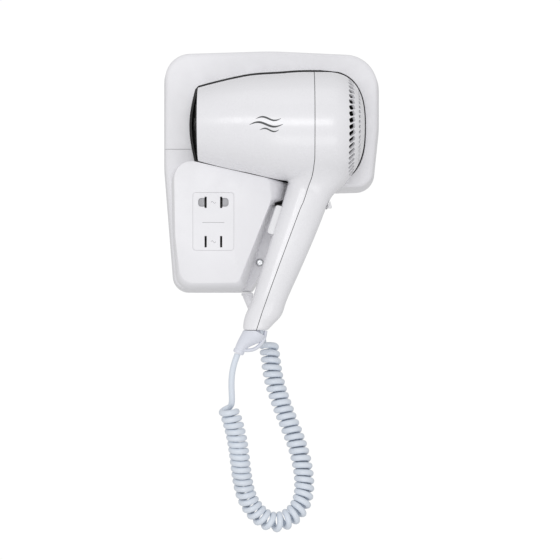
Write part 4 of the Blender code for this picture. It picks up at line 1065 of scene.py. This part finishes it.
    def build_mark(self) -> None:
        """Prints three plain strokes, for moving air, on the barrel's side."""
        strokes = []
        for start, end, height, rise, width in ((-12.0, 8.0, 37.2, 1.5, 1.5), (-17.0, 9.5, 32.6, 1.9, 1.8),
                                                (-9.0, 6.5, 28.2, 1.3, 1.3)):
            rings = []
            for step in range(31):
                share = step / 30.0
                x = start + (end - start) * share
                z = height + rise * math.sin(2.0 * math.pi * share)
                half = 0.5 * width * math.sin(math.pi * min(max(share, 0.03), 0.97)) ** 0.6
                ring = []
                for rise_off, proud in ((-half, -0.12), (half, -0.12), (half, 0.045), (-half, 0.045)):
                    level = z + rise_off
                    ring.append((x, -self.barrel.front_depth(x, level) - proud, level))
                rings.append(ring)
            strokes.append(loft(rings))
        place_piece("air_mark", pooled(strokes), MARK_INK, "handset")


@dataclass
class Controls:
    """The front paddle and the thumb slide; sizes in millimetres."""

    handle: Handle = field(default_factory=Handle)
    paddle_top: float = -31.0
    paddle_length: float = 24.0
    paddle_width: float = 12.0
    paddle_proud: float = 4.6
    paddle_depth: float = 3.4
    thumb_top: float = -26.5
    thumb_length: float = 10.0
    thumb_width: float = 10.0
    thumb_proud: float = 3.45
    thumb_crest: float = 4.4
    thumb_end: float = 7.4
    thumb_travel: float = 6.0
    thumb_foot: float = 0.45
    thumb_stem: float = 4.0

    def build(self) -> None:
        """Builds both controls."""
        self.build_paddle()
        self.build_thumb_slide()

    def build_paddle(self) -> None:
        """A crowned lever that sinks into the handle's inner side."""
        top, down, outward = self.handle.side_frame(self.paddle_top, self.paddle_length, 0)
        proud, length = self.paddle_proud, self.paddle_length
        crown = through(((0.0, 0.2), (0.15, proud - 1.5), (0.9, proud - 0.45), (2.6, proud - 0.05),
                         (9.0, proud + 0.05), (16.0, proud + 0.2), (length - 2.6, proud + 0.3),
                         (length - 0.9, proud - 0.05), (length - 0.1, proud - 1.0), (length, -0.2)), 4)
        outline = [(0.0, -self.paddle_depth), *crown, (length, -self.paddle_depth)]
        rings = []
        steps = 14
        for step in range(steps + 1):
            share = -1.0 + 2.0 * step / steps
            edge = 0.985 * math.sin(math.pi / 2.0 * share)
            drop = 1.5 * (1.0 - math.sqrt(1.0 - edge**6))
            rings.append([top + down * along + outward * (out - drop * min(max(out / proud, 0.0), 1.0))
                          + Vector((0.0, edge * self.paddle_width / 2.0, 0.0)) for along, out in outline])
        place_piece("paddle_lever", loft(rings), SWITCH_WHITE, "paddle", ["front_paddle"])

    def build_thumb_slide(self) -> None:
        """A ramp on a stem that runs in the housing's slot."""
        top, down, outward = self.handle.side_frame(self.thumb_top, self.thumb_length + self.thumb_travel, 1)
        foot, proud, length = self.thumb_foot, self.thumb_proud, self.thumb_length
        crest, top_level = self.thumb_crest, foot + proud
        ramp = [(0.0, foot), (0.0, foot + 0.3), (0.5, foot + 0.5), (crest * 0.5, foot + 0.25 + proud * 0.46),
                (crest - 0.6, top_level - 0.25), (crest, top_level), (crest + 0.45, top_level - 0.3),
                (crest + 0.8, top_level - 1.0), (crest + 1.4, foot + 0.9), (crest + 2.0, foot + 0.35),
                (self.thumb_end - 0.3, foot + 0.25), (self.thumb_end, foot + 0.15), (self.thumb_end, foot)]
        rings = []
        for share in (-1.0, -0.97, -0.9, 0.9, 0.97, 1.0):
            drop = {1.0: 0.7, 0.97: 0.25, 0.9: 0.0}[abs(share)]
            rings.append([top + down * a + outward * (foot + max(b - foot - drop, 0.0)) +
                          Vector((0.0, share * self.thumb_width / 2.0, 0.0)) for a, b in ramp])
        middle = length / 2.0
        half = self.thumb_stem / 2.0
        stem = sloped_block((top, down, outward), (middle - half, middle + half), (-3.6, foot + 0.3), half)
        place_piece("thumb_ramp", join(loft(rings), stem), SWITCH_WHITE, "thumb", ["thumb_slide"])


class AirPath:
    """What drives and heats the air, carried over from the frame."""

    FINISHES = {
        "outlet_grille": GRILLE_BLACK,
        "heat_tube": STEEL,
        "heater_frame": MICA,
        "heater_coil": HEATER_WIRE,
        "thermostat": GRILLE_BLACK,
        "fan_motor": STEEL,
        "motor_holder": GRILLE_BLACK,
        "intake_filter": MESH_BLACK,
        "fan_impeller": GRILLE_BLACK,
        "motor_shaft": STEEL,
        "paddle_switch": GRILLE_BLACK,
        "slide_switch": GRILLE_BLACK,
        "handle_screw_upper": STEEL,
        "handle_screw_lower": STEEL,
    }

    def build(self) -> None:
        """Dresses each inner piece of the handset."""
        for node, finish in self.FINISHES.items():
            dress(node, finish)


# ---------------------------------------------------------------- holder
@dataclass
class Holder:
    """Wall holder: a tray with the barrel's recess and the raised socket box; sizes in millimetres."""

    barrel: Barrel = field(default_factory=Barrel)
    width: float = 183.0
    top: float = 102.0
    bottom: float = -102.0
    tray_depth: float = 38.0
    underside: float = -18.0
    box_depth: float = 62.0
    channel_depth: float = 26.0
    wall: float = 2.2
    draft: float = 3.0
    edge: float = 3.4
    seam_height: float = 17.7
    gap: float = 0.3
    liner_wall: float = 1.5
    liner_floor: float = 13.0
    dock_gap: float = 0.36
    cradle_gap: float = 2.7
    lift_room: float = 2.1
    lip: float = 0.3
    screw_place: Point2 = (-9.8, -76.5)
    liner_screws: tuple[Point2, ...] = ((-40.0, 36.0), (50.0, 36.0))

    def back_corners(self) -> list[Corner]:
        """Corners of the back outline, clockwise from the top left.

        Returns:
            (x, z, radius) of each corner.
        """
        left, right = -self.width / 2.0, self.width / 2.0
        return [(left, self.top - 2.2, 24.0), (0.0, self.top + 0.6, 300.0), (right, self.top - 3.6, 30.0),
                (right, 36.0, 90.0), (right - 5.5, self.underside + 1.5, 16.0), (36.0, self.underside, 6.0),
                (-16.5, self.bottom, 5.0), (left + 8.3, self.bottom, 14.0), (left, 2.0, 150.0)]

    def box_foot(self) -> list[Corner]:
        """Corners of the socket box at its foot; its top edge follows the barrel.

        Returns:
            (x, z, radius) of each corner, clockwise from the top left.
        """
        left = -self.width / 2.0
        nose = self.barrel.nose_x
        rise = [self.barrel.centre_at(x) - self.barrel.radius_at(x) - self.dock_gap for x in (nose, 8.0)]
        slope = (rise[1] - rise[0]) / (8.0 - nose)
        top_left, top_right = left + 8.3, 14.4
        return [(top_left, rise[0] + slope * (top_left - nose), 18.0),
                (top_right, rise[0] + slope * (top_right - nose), 2.5), (top_right - 3.6, -24.6, 3.0),
                (1.6, -26.6, 4.0), (-22.0, self.bottom + 3.0, 4.0), (left + 13.0, self.bottom + 2.0, 13.0),
                (left + 9.6, -55.0, 60.0)]

    def box_face(self) -> list[Corner]:
        """Corners of the socket box's flat face, matching those of its foot.

        Returns:
            (x, z, radius) of each corner.
        """
        inward = ((3.6, -1.4, 14.0), (-17.0, 3.5, 5.0), (-11.4, 0.4, 7.0), (-3.9, -5.0, 9.0),
                  (-5.0, 6.0, 6.0), (4.6, 6.6, 12.0), (3.4, 0.0, 60.0))
        return [(x + dx, z + dz, radius) for (x, z, _), (dx, dz, radius) in zip(self.box_foot(), inward)]

    def cover(self, less: float = 0.0, back: float = 0.3) -> bmesh.types.BMesh:
        """The L-shaped slab with its draft and rolled front edge, less a wall.

        Args:
            less: how far inside the outside it lies.
            back: how far in front of the wall it starts.

        Returns:
            The slab.
        """
        front = self.tray_depth - less
        levels = [(back, 0.0)]
        for step in range(9):
            turn = math.pi / 2.0 * step / 8.0
            drawn = self.draft + self.edge * (1.0 - math.cos(turn))
            levels.append((front - self.edge * (1.0 - math.sin(turn)), drawn))
        return loft([level_ring(rounded(inset(self.back_corners(), drawn + less), 12), depth)
                     for depth, drawn in levels])

    def box(self, less: float = 0.0, back: float = 0.3) -> bmesh.types.BMesh:
        """The raised socket box with its soft shoulders, less a wall.

        Args:
            less: how far inside the outside it lies.
            back: how far in front of the wall it starts.

        Returns:
            The box.
        """
        foot = rounded(inset(self.box_foot(), less), 10)
        face = rounded(inset(self.box_face(), less), 10)
        front = self.box_depth - less
        profile = through(((back, 0.0), (front - 22.0, 0.06), (front - 14.0, 0.13), (front - 8.0, 0.30),
                           (front - 3.6, 0.56), (front - 1.2, 0.80), (front - 0.25, 0.93), (front, 1.0)), 4)
        return loft([level_ring([a.lerp(b, share) for a, b in zip(foot, face)], depth)
                     for depth, share in profile])

    def recess(self, less: float = 0.0) -> list[Vector]:
        """Outline of the barrel's recess, less a wall, clockwise from the lower left.

        Args:
            less: how far inside the recess's wall it lies.

        Returns:
            The outline's points.
        """
        barrel, foot = self.barrel, self.box_foot()
        left = barrel.nose_x - 4.2
        slope = (foot[1][1] - foot[0][1]) / (foot[1][0] - foot[0][0])
        low = foot[0][1] + slope * (left - foot[0][0]) + self.gap
        room = self.cradle_gap + self.lift_room
        high = barrel.centre_at(barrel.nose_x) + barrel.nose_radius + room
        points = [(left, low)]
        for step in range(1, 20):
            share = step / 20.0
            points.append((left + 1.4 * share - 5.0 * math.sin(math.pi * share), low + (high - low) * share))
        for step in range(25):
            x = barrel.nose_x - 1.0 + (barrel.dome_x - barrel.nose_x) * step / 24.0
            points.append((x, barrel.centre_at(x) + barrel.radius_at(x) + room))
        for step in range(1, 25):
            angle = 18.0 + 5.0 * step
            turn = math.radians(angle)
            x = barrel.dome_x + (barrel.rear_x - barrel.dome_x) * math.sin(turn)
            across = math.copysign(barrel.radius_at(x), 90.5 - angle)
            points.append((x + math.sin(turn) * self.cradle_gap - 0.3,
                           barrel.axis_height + across + math.cos(turn) * self.cradle_gap + self.lift_room))
        lip, bottom = self.underside + 4.5, foot[3][1] - 2.9
        points += [(54.0, lip + 4.0), (50.0, lip), (33.5, lip), (23.5, bottom), (foot[3][0] + 1.0, bottom),
                   (foot[3][0] + 1.0, foot[3][1] + 0.9), (foot[2][0] + 0.6, foot[2][1] + 0.4),
                   (foot[1][0] + 0.9, foot[1][1] - 1.0), (foot[1][0] - 0.4, foot[1][1] + 0.6)]
        return [Vector(corner[:2]) for corner in inset([(x, z, 1.0) for x, z in points], less)]

    def recess_cutter(self, far: float) -> bmesh.types.BMesh:
        """Cuts the recess, with a rolled lip where it meets the tray's face.

        Args:
            far: how far in front of the wall it ends.

        Returns:
            The cutter.
        """
        levels = [(-5.0, 0.0)]
        for step in range(6):
            turn = math.pi / 2.0 * step / 5.0
            out = self.lip * (1.0 - math.cos(turn))
            levels.append((self.tray_depth - self.lip * (1.0 - math.sin(turn)), out))
        levels.append((far, self.lip))
        return loft([level_ring(self.recess(-out), depth) for depth, out in levels])

    def channel(self, depth: float) -> bmesh.types.BMesh:
        """Clears the shallow channel behind the handle, down to a depth.

        Args:
            depth: how far in front of the wall the channel's floor lies.

        Returns:
            The cutter.
        """
        foot = self.box_foot()
        low = foot[3][1] - 2.3
        outline = [(foot[3][0] - 2.0, low), (60.0, low), (60.0, -140.0), (foot[4][0] - 11.0, -140.0),
                   (foot[4][0] - 2.0, foot[4][1] + 1.0)]
        return prism(outline, depth, self.box_depth + 30.0)

    def upper_region(self) -> bmesh.types.BMesh:
        """Clip that keeps the tray cover.

        Returns:
            The clip.
        """
        seam = self.seam_height + self.gap / 2.0
        outline = ((-150.0, seam), (-150.0, 160.0), (150.0, 160.0), (150.0, -60.0), (40.0, -60.0),
                   (33.0, self.underside + 2.0), (33.0, seam))
        return prism(outline, -5.0, self.box_depth + 20.0)

    def lower_region(self) -> bmesh.types.BMesh:
        """Clip that keeps the socket cover.

        Returns:
            The clip.
        """
        seam = self.seam_height - self.gap / 2.0
        right = 33.0 - self.gap
        outline = ((-150.0, seam), (-40.0, seam), (-40.0, 12.0), (right, 12.0),
                   (right, self.underside + 2.0), (40.0 - self.gap, -60.0), (40.0, -150.0), (-150.0, -150.0))
        return prism(outline, -5.0, self.box_depth + 20.0)

    def build(self) -> None:
        """Builds both covers and the liner, and dresses the plate and the screws."""
        shell = cut(self.cover(), self.cover(self.wall, -5.0))
        tray = cut(keep(shell, self.upper_region()), self.recess_cutter(self.tray_depth + 5.0))
        place_piece("tray_shell", tray, WHITE_COVER, "holder", ["tray_cover"])
        self.build_socket_shell()
        # The liner is black plastic, and its black also serves as painted shade of the gap round the barrel.
        outer = prism(self.recess(self.gap), self.liner_floor - self.liner_wall, self.tray_depth - 1.0)
        hollow = prism(self.recess(self.gap + self.liner_wall), self.liner_floor, self.tray_depth + 2.0)
        holes = [rod(Vector((x, 0.0, z)), Vector((x, -self.liner_floor - 2.0, z)), 1.7)
                 for x, z in self.liner_screws]
        place_piece("recess_liner", cut(outer, hollow, *holes), LINER_BLACK_AND_GAP_SHADE, "holder", ["cradle_liner"])
        for node, finish in (("wall_plate", PLATE_GREY), ("channel_screw", STEEL),
                             ("liner_screw_left", STEEL), ("liner_screw_right", STEEL),
                             ("terminal_block", PANEL_WHITE), ("transformer_core", CORE_STEEL),
                             ("transformer_coil", COPPER)):
            dress(node, finish)

    def build_socket_shell(self) -> None:
        """The lower cover: the socket box, its foot and the channel's floor."""
        outer = keep(cut(self.cover(), self.channel(self.channel_depth)), self.lower_region())
        outer = cut(join(outer, self.box()), self.recess_cutter(self.tray_depth + 0.01))
        hollow = join(cut(self.cover(self.wall, -5.0), self.channel(self.channel_depth - self.wall)),
                      self.box(self.wall, -5.0))
        x, z = self.screw_place
        depth = self.channel_depth
        pocket = rod(Vector((x, -depth + 0.8, z)), Vector((x, -depth - 2.0, z)), 3.3)
        shank = rod(Vector((x, 0.0, z)), Vector((x, -depth - 2.0, z)), 1.7)
        window = SocketPanel().prism_at(-0.14, self.box_depth - 3.2, self.box_depth + 2.0)
        place_piece("socket_shell", cut(outer, hollow, pocket, shank, window), WHITE_COVER, "holder",
                    ["socket_cover"])


@dataclass
class SocketPanel:
    """Face of the shaver socket with its pin slots and plain printed signs; sizes in millimetres."""

    left: float = -64.1
    width: float = 33.5
    top: float = -19.5
    height: float = 47.3
    corner: float = 2.5
    thickness: float = 2.2
    front: float = 62.0
    pin_pitch: float = 12.7
    slot_width: float = 1.8
    slot_height: float = 9.3
    upper_drop: float = 8.0
    lower_drop: float = 40.2
    recess_reach: float = 5.4
    recess_height: float = 7.2
    line_width: float = 0.28

    def prism_at(self, less: float, near: float, far: float) -> bmesh.types.BMesh:
        """The panel's outline, less a gap, between two depths.

        Args:
            less: how far inside the outline it lies.
            near: where it starts, in front of the wall.
            far: where it ends.

        Returns:
            The solid.
        """
        low, right = self.top - self.height, self.left + self.width
        corners = [(self.left, self.top, self.corner), (right, self.top, self.corner),
                   (right, low, self.corner), (self.left, low, self.corner)]
        return prism(rounded(inset(corners, less), 8), near, far)

    def pin_places(self) -> list[Point2]:
        """Centre of each pin slot: upper left and right, then lower left and right.

        Returns:
            Their (x, z) places.
        """
        middle = self.left + self.width / 2.0
        return [(middle + side * self.pin_pitch / 2.0, self.top - drop)
                for drop in (self.upper_drop, self.lower_drop) for side in (-1.0, 1.0)]

    def build(self) -> None:
        """Builds the panel's face and signs, and dresses what is behind it."""
        front = self.front
        cutters = []
        for index, (x, z) in enumerate(self.pin_places()):
            half_w, half_h = self.slot_width / 2.0, self.slot_height / 2.0
            corners = [(x - half_w, z + half_h, 0.25), (x + half_w, z + half_h, 0.25),
                       (x + half_w, z - half_h, 0.25), (x - half_w, z - half_h, 0.25)]
            cutters.append(prism(rounded(corners, 3), front - 5.0, front + 2.0))
            if index < 2:
                side = -1.0 if index == 0 else 1.0
                near = x + side * (half_w - 0.2)
                tip = near + side * self.recess_reach
                half = self.recess_height / 2.0
                corners = [(near, z + half, 0.4), (tip, z + half, 3.0), (tip, z - half, 3.0),
                           (near, z - half, 0.4)]
                cutters.append(prism(rounded(corners, 8), front - 5.0, front + 2.0))
        face = cut(self.prism_at(0.0, front - self.thickness, front), *cutters)
        place_piece("socket_face", face, PANEL_WHITE, "holder", ["socket_insert"], bevel=0.18)
        self.build_signs()
        dress("socket_body", SOCKET_GREY)
        # Contacts painted dark grey as the shade behind the slots.
        for number in range(1, 5):
            dress(f"socket_contact_{number}", CONTACT_PAINTED_SHADE)

    def build_signs(self) -> None:
        """Prints the wave sign for alternating current by each socket, and a dividing line."""
        middle = self.left + self.width / 2.0
        upper = self.top - self.upper_drop
        lower = self.top - self.lower_drop
        divider = self.top - 0.5 * (self.upper_drop + self.lower_drop) - 0.4
        lines = [[(middle - 2.0 + 4.0 * s / 24.0, upper + 0.8 * math.sin(2.0 * math.pi * s / 24.0))
                  for s in range(25)],
                 [(middle - 2.0 + 4.0 * s / 24.0, lower + 0.8 * math.sin(2.0 * math.pi * s / 24.0))
                  for s in range(25)],
                 [(middle - 9.0 + 18.0 * s / 4.0, divider) for s in range(5)]]
        strokes = []
        for line in lines:
            rings = []
            for index, (x, z) in enumerate(line):
                before, after = line[max(index - 1, 0)], line[min(index + 1, len(line) - 1)]
                along = Vector((after[0] - before[0], after[1] - before[1])).normalized()
                across = Vector((-along.y, along.x)) * self.line_width / 2.0
                rings.append([(x + across.x * s, -self.front - proud, z + across.y * s)
                              for s, proud in ((-1, -0.1), (1, -0.1), (1, 0.03), (-1, 0.03))])
            strokes.append(loft(rings))
        place_piece("socket_signs", pooled(strokes), PANEL_INK, "holder")


# ---------------------------------------------------------------- cord and glands
@dataclass
class CurlyCord:
    """The cord from the handset to the holder: a lead at each end and a curl between them; millimetres."""

    radius: float = 2.5
    coil_radius: float = 6.0
    pitch_near_handset: float = 5.25
    pitch_near_holder: float = 6.1
    turn_gap: float = 0.12
    points_per_turn: int = 20
    point_step: float = 1.75
    turn_cut: int = 20
    ease_reach: float = 26.0
    ease_after_lead: float = 6.0
    ease_before_gland: float = 8.0
    sides: int = 12
    gland_end: tuple[float, float, float] = (-12.94, -16.51, -124.0)
    gland_direction: tuple[float, float, float] = (0.339, -0.1595, -0.9272)
    lead_route: tuple[tuple[float, float, float], ...] = (
        (-27.5, -64.0, -151.6), (-30.4, -64.0, -160.0), (-32.8, -64.0, -169.5), (-34.8, -63.9, -177.5))
    curl_route: tuple[tuple[float, float, float], ...] = (
        (-36.2, -63.4, -189.2), (-35.0, -63.0, -197.0), (-31.6, -62.3, -207.0), (-28.6, -61.3, -219.0),
        (-26.6, -60.0, -231.0), (-25.2, -58.7, -243.0), (-23.6, -57.2, -255.0), (-20.9, -55.6, -267.0),
        (-15.6, -54.0, -278.0), (-7.2, -52.0, -286.8), (3.0, -50.0, -290.9), (13.8, -47.6, -288.3),
        (22.2, -45.4, -280.6), (26.6, -43.2, -269.6), (27.2, -41.2, -256.5), (24.9, -39.2, -241.0),
        (20.6, -37.2, -226.0), (15.2, -35.2, -211.8), (9.6, -33.2, -197.6), (4.8, -31.2, -183.8),
        (1.2, -29.2, -170.0), (-0.8, -27.2, -156.0), (-2.6, -25.0, -145.0), (-5.2, -22.6, -138.4))

    def axis_points(self) -> np.ndarray:
        """Evenly spaced points on the curl's own centre line.

        Returns:
            The points, as an array of rows.
        """
        fine = np.array(through(self.curl_route, 24))
        walked = np.concatenate([[0.0], np.cumsum(np.linalg.norm(np.diff(fine, axis=0), axis=1))])
        even = np.linspace(0.0, walked[-1], 1400)
        return np.stack([np.interp(even, walked, fine[:, column]) for column in range(3)], 1)

    def path(self) -> list[Vector]:
        """The cord's centre line from the handset's gland to the holder's.

        Returns:
            Its points, in millimetres.
        """
        axis = self.axis_points()
        step = float(np.linalg.norm(axis[1] - axis[0]))
        tangent = np.gradient(axis, axis=0)
        tangent /= np.linalg.norm(tangent, axis=1)[:, None]
        bend = np.linalg.norm(np.gradient(tangent, axis=0), axis=1) / step
        bend = np.convolve(np.pad(bend, 30, mode="edge"), np.ones(61) / 61.0, mode="valid")
        tightest = (2.0 * self.radius + self.turn_gap) / np.maximum(1.0 - bend * self.coil_radius, 0.3)
        wanted_pitch = np.interp(np.linspace(0.0, 1.0, len(axis)), (0.45, 0.62),
                                 (self.pitch_near_handset, self.pitch_near_holder))
        pitch = np.maximum(wanted_pitch, tightest)
        phase = np.concatenate([[0.0], np.cumsum(step / pitch)])[:-1]
        ease = 1.15
        side = np.cross(tangent[0], (0.0, 1.0, 0.0))
        side /= np.linalg.norm(side)
        points = []
        wanted = np.arange(0.0, phase[-1], 1.0 / self.points_per_turn)
        sides = []
        for index in range(len(axis)):
            side = side - tangent[index] * float(side @ tangent[index])
            side /= np.linalg.norm(side)
            sides.append(side)
        for turns in wanted:
            index = int(np.searchsorted(phase, turns))
            grow = min(turns / ease, (phase[-1] - turns) / ease, 1.0)
            reach = self.coil_radius * smoothstep(grow)
            across, normal = sides[index], np.cross(tangent[index], sides[index])
            angle = -2.0 * math.pi * turns
            spoke = across * math.cos(angle) + normal * math.sin(angle)
            points.append(Vector(axis[index] + reach * spoke))
        lead = [Vector(point) for point in self.lead_route]
        gland = Vector(self.gland_end)
        way = Vector(self.gland_direction).normalized()
        ends = [gland + way * 4.0, gland + way * 0.3]
        whole = [*lead, *points[self.turn_cut:-self.turn_cut], *ends]
        dense = through([list(point) for point in whole], 4)
        return [Vector(point) for point in self._eased(self._evened(dense))]

    def _evened(self, points: Sequence[Sequence[float]]) -> np.ndarray:
        """The same line with evenly spaced points.

        Args:
            points: the line's points.

        Returns:
            The new points, as an array of rows.
        """
        dense = np.array(points)
        walked = np.concatenate([[0.0], np.cumsum(np.linalg.norm(np.diff(dense, axis=0), axis=1))])
        even = np.linspace(0.0, walked[-1], int(walked[-1] / self.point_step))
        return np.stack([np.interp(even, walked, dense[:, column]) for column in range(3)], 1)

    def _eased(self, points: np.ndarray) -> list[list[float]]:
        """The same line with the two bends between curl and leads opened out.

        Args:
            points: the evenly spaced line.

        Returns:
            The new points.
        """
        walked = np.arange(len(points)) * self.point_step
        last_of_lead = np.array(self.lead_route[-1])
        start = walked[np.argmin(np.linalg.norm(points[:60] - last_of_lead, axis=1))] + self.ease_after_lead
        end = walked[-1] - self.ease_before_gland
        away = np.minimum(np.abs(walked - start), np.abs(walked - end))
        share = np.clip(1.0 - away / self.ease_reach, 0.0, 1.0)
        share = share * share * (3.0 - 2.0 * share)
        share[:4] = 0.0
        share[-2:] = 0.0
        for _ in range(110):
            middle = 0.5 * (points[:-2] + points[2:])
            points[1:-1] += 0.6 * share[1:-1, None] * (middle - points[1:-1])
        return self._evened(points).tolist()

    def build(self) -> None:
        """Builds the cord as one tube and says what it is."""
        path = self.path()
        rings = []
        across = Vector((0.0, 1.0, 0.0))
        for index, point in enumerate(path):
            along = (path[min(index + 1, len(path) - 1)] - path[max(index - 1, 0)]).normalized()
            across = (across - along * across.dot(along)).normalized()
            normal = along.cross(across)
            turns = [2.0 * math.pi * corner / self.sides for corner in range(self.sides)]
            rings.append([point + (across * math.cos(a) + normal * math.sin(a)) * self.radius
                          for a in turns])
        piece = place_piece("curly_cord", loft(rings), CORD_SHEATH, "holder",
                            ["handset_lead", "curl_cord", "base_lead"])
        piece.parent = None
        del piece["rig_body"]
        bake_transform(piece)


@dataclass
class Glands:
    """The strain reliefs at both ends of the cord; sizes in millimetres."""

    handle: Handle = field(default_factory=Handle)
    collar_radius: float = 4.6
    cord_end: tuple[float, float, float] = (-27.2, -64.0, -151.2)
    holder_place: Point2 = (-20.4, -13.0)
    holder_bottom: float = -102.0
    sleeve_length: float = 22.0

    def build(self) -> None:
        """Builds both strain reliefs."""
        self.build_handset_relief()
        self.build_holder_relief()

    def build_handset_relief(self) -> None:
        """The relief under the handle, with its collar and its hanging loop."""
        height, left, right, deep = self.handle.sections[-1]
        middle, wide = (left + right) / 2.0, (right - left) / 2.0
        y, top = -self.handle.axis_depth, height - 0.3
        end = Vector(self.cord_end)
        body = swept(((middle, y, top, wide, deep), (middle - 1.4, y, top - 2.4, wide - 0.5, deep - 0.7),
                      (middle - 4.6, y, top - 5.4, wide - 2.3, deep - 2.1),
                      (middle - 9.2, y, top - 10.0, 5.5, 5.5),
                      (middle - 12.4, y, top - 14.6, 4.3, 4.3), (*end, 3.9, 3.9)))
        way = (end - Vector((middle - 12.4, y, top - 14.6))).normalized()
        collar = turned(end - way * 3.4, way, ((0.0, 4.0), (0.35, 4.45), (1.0, self.collar_radius),
                                              (2.2, self.collar_radius), (2.9, 4.4), (3.3, 3.8)), 28)
        trim = prism([(middle - 30.0, top), (middle + 30.0, top), (middle + 30.0, top + 20.0),
                      (middle - 30.0, top + 20.0)], -y - 30.0, -y + 30.0)
        neck = rod(Vector((middle, y, top - 2.0)), Vector((middle, y, top + 3.5)), 4.1)
        loop = swept([(*point, 1.5, 2.4) for point in (
            (right - 1.7, y, top - 0.2), (right - 2.7, y, top - 5.8), (right - 5.4, y, top - 10.8),
            (right - 10.2, y, top - 14.9), (right - 16.0, y, top - 16.3),
            (middle - 12.6, y, top - 15.6))], 16)
        relief = join(cut(join(body, loop, collar), trim), neck)
        place_piece("handset_relief", relief, GLAND_RUBBER, "handset", ["handset_gland"])

    def build_holder_relief(self) -> None:
        """The relief in the holder's lower right corner: a lip and a tapered sleeve."""
        x, y = self.holder_place
        lip = turned(Vector((x, y, self.holder_bottom - 0.3)), Vector((0.0, 0.0, -1.0)),
                     ((0.0, 4.6), (0.4, 5.0), (1.7, 5.0), (2.2, 4.5)), 28)
        way = Vector((0.34, -0.16, -0.93)).normalized()
        start = Vector((x, y, self.holder_bottom - 1.2))
        length = self.sleeve_length - 0.4
        profile = ((0.0, 4.3), (2.0, 4.25), (length - 0.8, 3.35), (length - 0.2, 3.1), (length, 2.75))
        sleeve = turned(start, way, profile, 28)
        place_piece("holder_relief", join(lip, sleeve), WHITE_COVER, "holder", ["base_gland"])


# ---------------------------------------------------------------- studio
@dataclass
class Studio:
    """Camera, soft lights, pale floor and white surroundings; sizes in metres."""

    camera_place: tuple[float, float, float] = (0.0072, -1.560, -0.0911)
    lens: float = 117.6
    floor_height: float = -1.2
    floor_radius: float = 1.8
    surround: float = 0.64

    def build(self) -> None:
        """Sets up the whole studio."""
        self.build_camera()
        self.build_world()
        self.build_floor()
        self.build_light("front_softbox", (-0.25, -1.90, 0.22), (1.5, 0.42), 8.0)
        self.build_light("low_softbox", (0.10, -1.60, -0.95), (1.3, 0.6), 3.6)
        self.build_light("top_softbox", (0.0, -0.60, 1.10), (1.0, 0.8), 1.2)

    def build_camera(self) -> None:
        """A level camera in front of the handset."""
        lens = bpy.data.cameras.new("studio_camera")
        lens.lens = self.lens
        lens.sensor_width = 36.0
        camera = bpy.data.objects.new("studio_camera", lens)
        camera.location = self.camera_place
        camera.rotation_euler = (math.pi / 2.0, 0.0, 0.0)
        bpy.context.scene.collection.objects.link(camera)
        bpy.context.scene.camera = camera

    def build_world(self) -> None:
        """White surroundings: full white where they are seen, softer where they light."""
        world = bpy.data.worlds.new("white_surround")
        world.use_nodes = True
        tree = world.node_tree
        seen = tree.nodes.new("ShaderNodeLightPath").outputs["Is Camera Ray"]
        strength = tree.nodes.new("ShaderNodeMapRange")
        strength.inputs["To Min"].default_value = self.surround
        strength.inputs["To Max"].default_value = 1.02
        tree.links.new(seen, strength.inputs["Value"])
        backdrop = tree.nodes["Background"]
        backdrop.inputs["Color"].default_value = (1.0, 1.0, 1.0, 1.0)
        tree.links.new(strength.outputs["Result"], backdrop.inputs["Strength"])
        bpy.context.scene.world = world
        bpy.context.scene.view_settings.view_transform = "Standard"

    def build_floor(self) -> None:
        """A plain pale floor, well below the wall-held dryer."""
        disc = bmesh.new()
        bmesh.ops.create_circle(disc, cap_ends=True, segments=96, radius=self.floor_radius)
        mesh = bpy.data.meshes.new("studio_floor")
        disc.to_mesh(mesh)
        disc.free()
        floor = bpy.data.objects.new("studio_floor", mesh)
        floor.location = (0.0, 0.0, self.floor_height)
        mesh.materials.append(Finish("studio_floor", (0.80, 0.80, 0.80), 0.8, Grain.SPARK, spread=0.01,
                                     grain_size=0.01).material())
        bpy.context.scene.collection.objects.link(floor)

    def build_light(self, name: str, place: tuple[float, float, float], size: Point2, power: float) -> None:
        """A rectangular softbox aimed at the handset.

        Args:
            name: the lamp's name.
            place: where it stands.
            size: its width and height.
            power: its power in watts.
        """
        lamp = bpy.data.lights.new(name, "AREA")
        lamp.shape = "RECTANGLE"
        lamp.size, lamp.size_y = size
        lamp.energy = power
        holder = bpy.data.objects.new(name, lamp)
        holder.location = place
        aim = Vector((0.0, -0.06, -0.04)) - Vector(place)
        holder.rotation_euler = aim.to_track_quat("-Z", "Y").to_euler()
        bpy.context.scene.collection.objects.link(holder)


def main() -> None:
    """Builds the studio, then every sub-assembly."""
    logging.basicConfig(level=logging.INFO, format="%(name)s: %(message)s")
    Studio().build()
    Glands().build()
    CurlyCord().build()
    Handset().build()
    Controls().build()
    AirPath().build()
    Holder().build()
    SocketPanel().build()


if __name__ == "__main__":
    main()
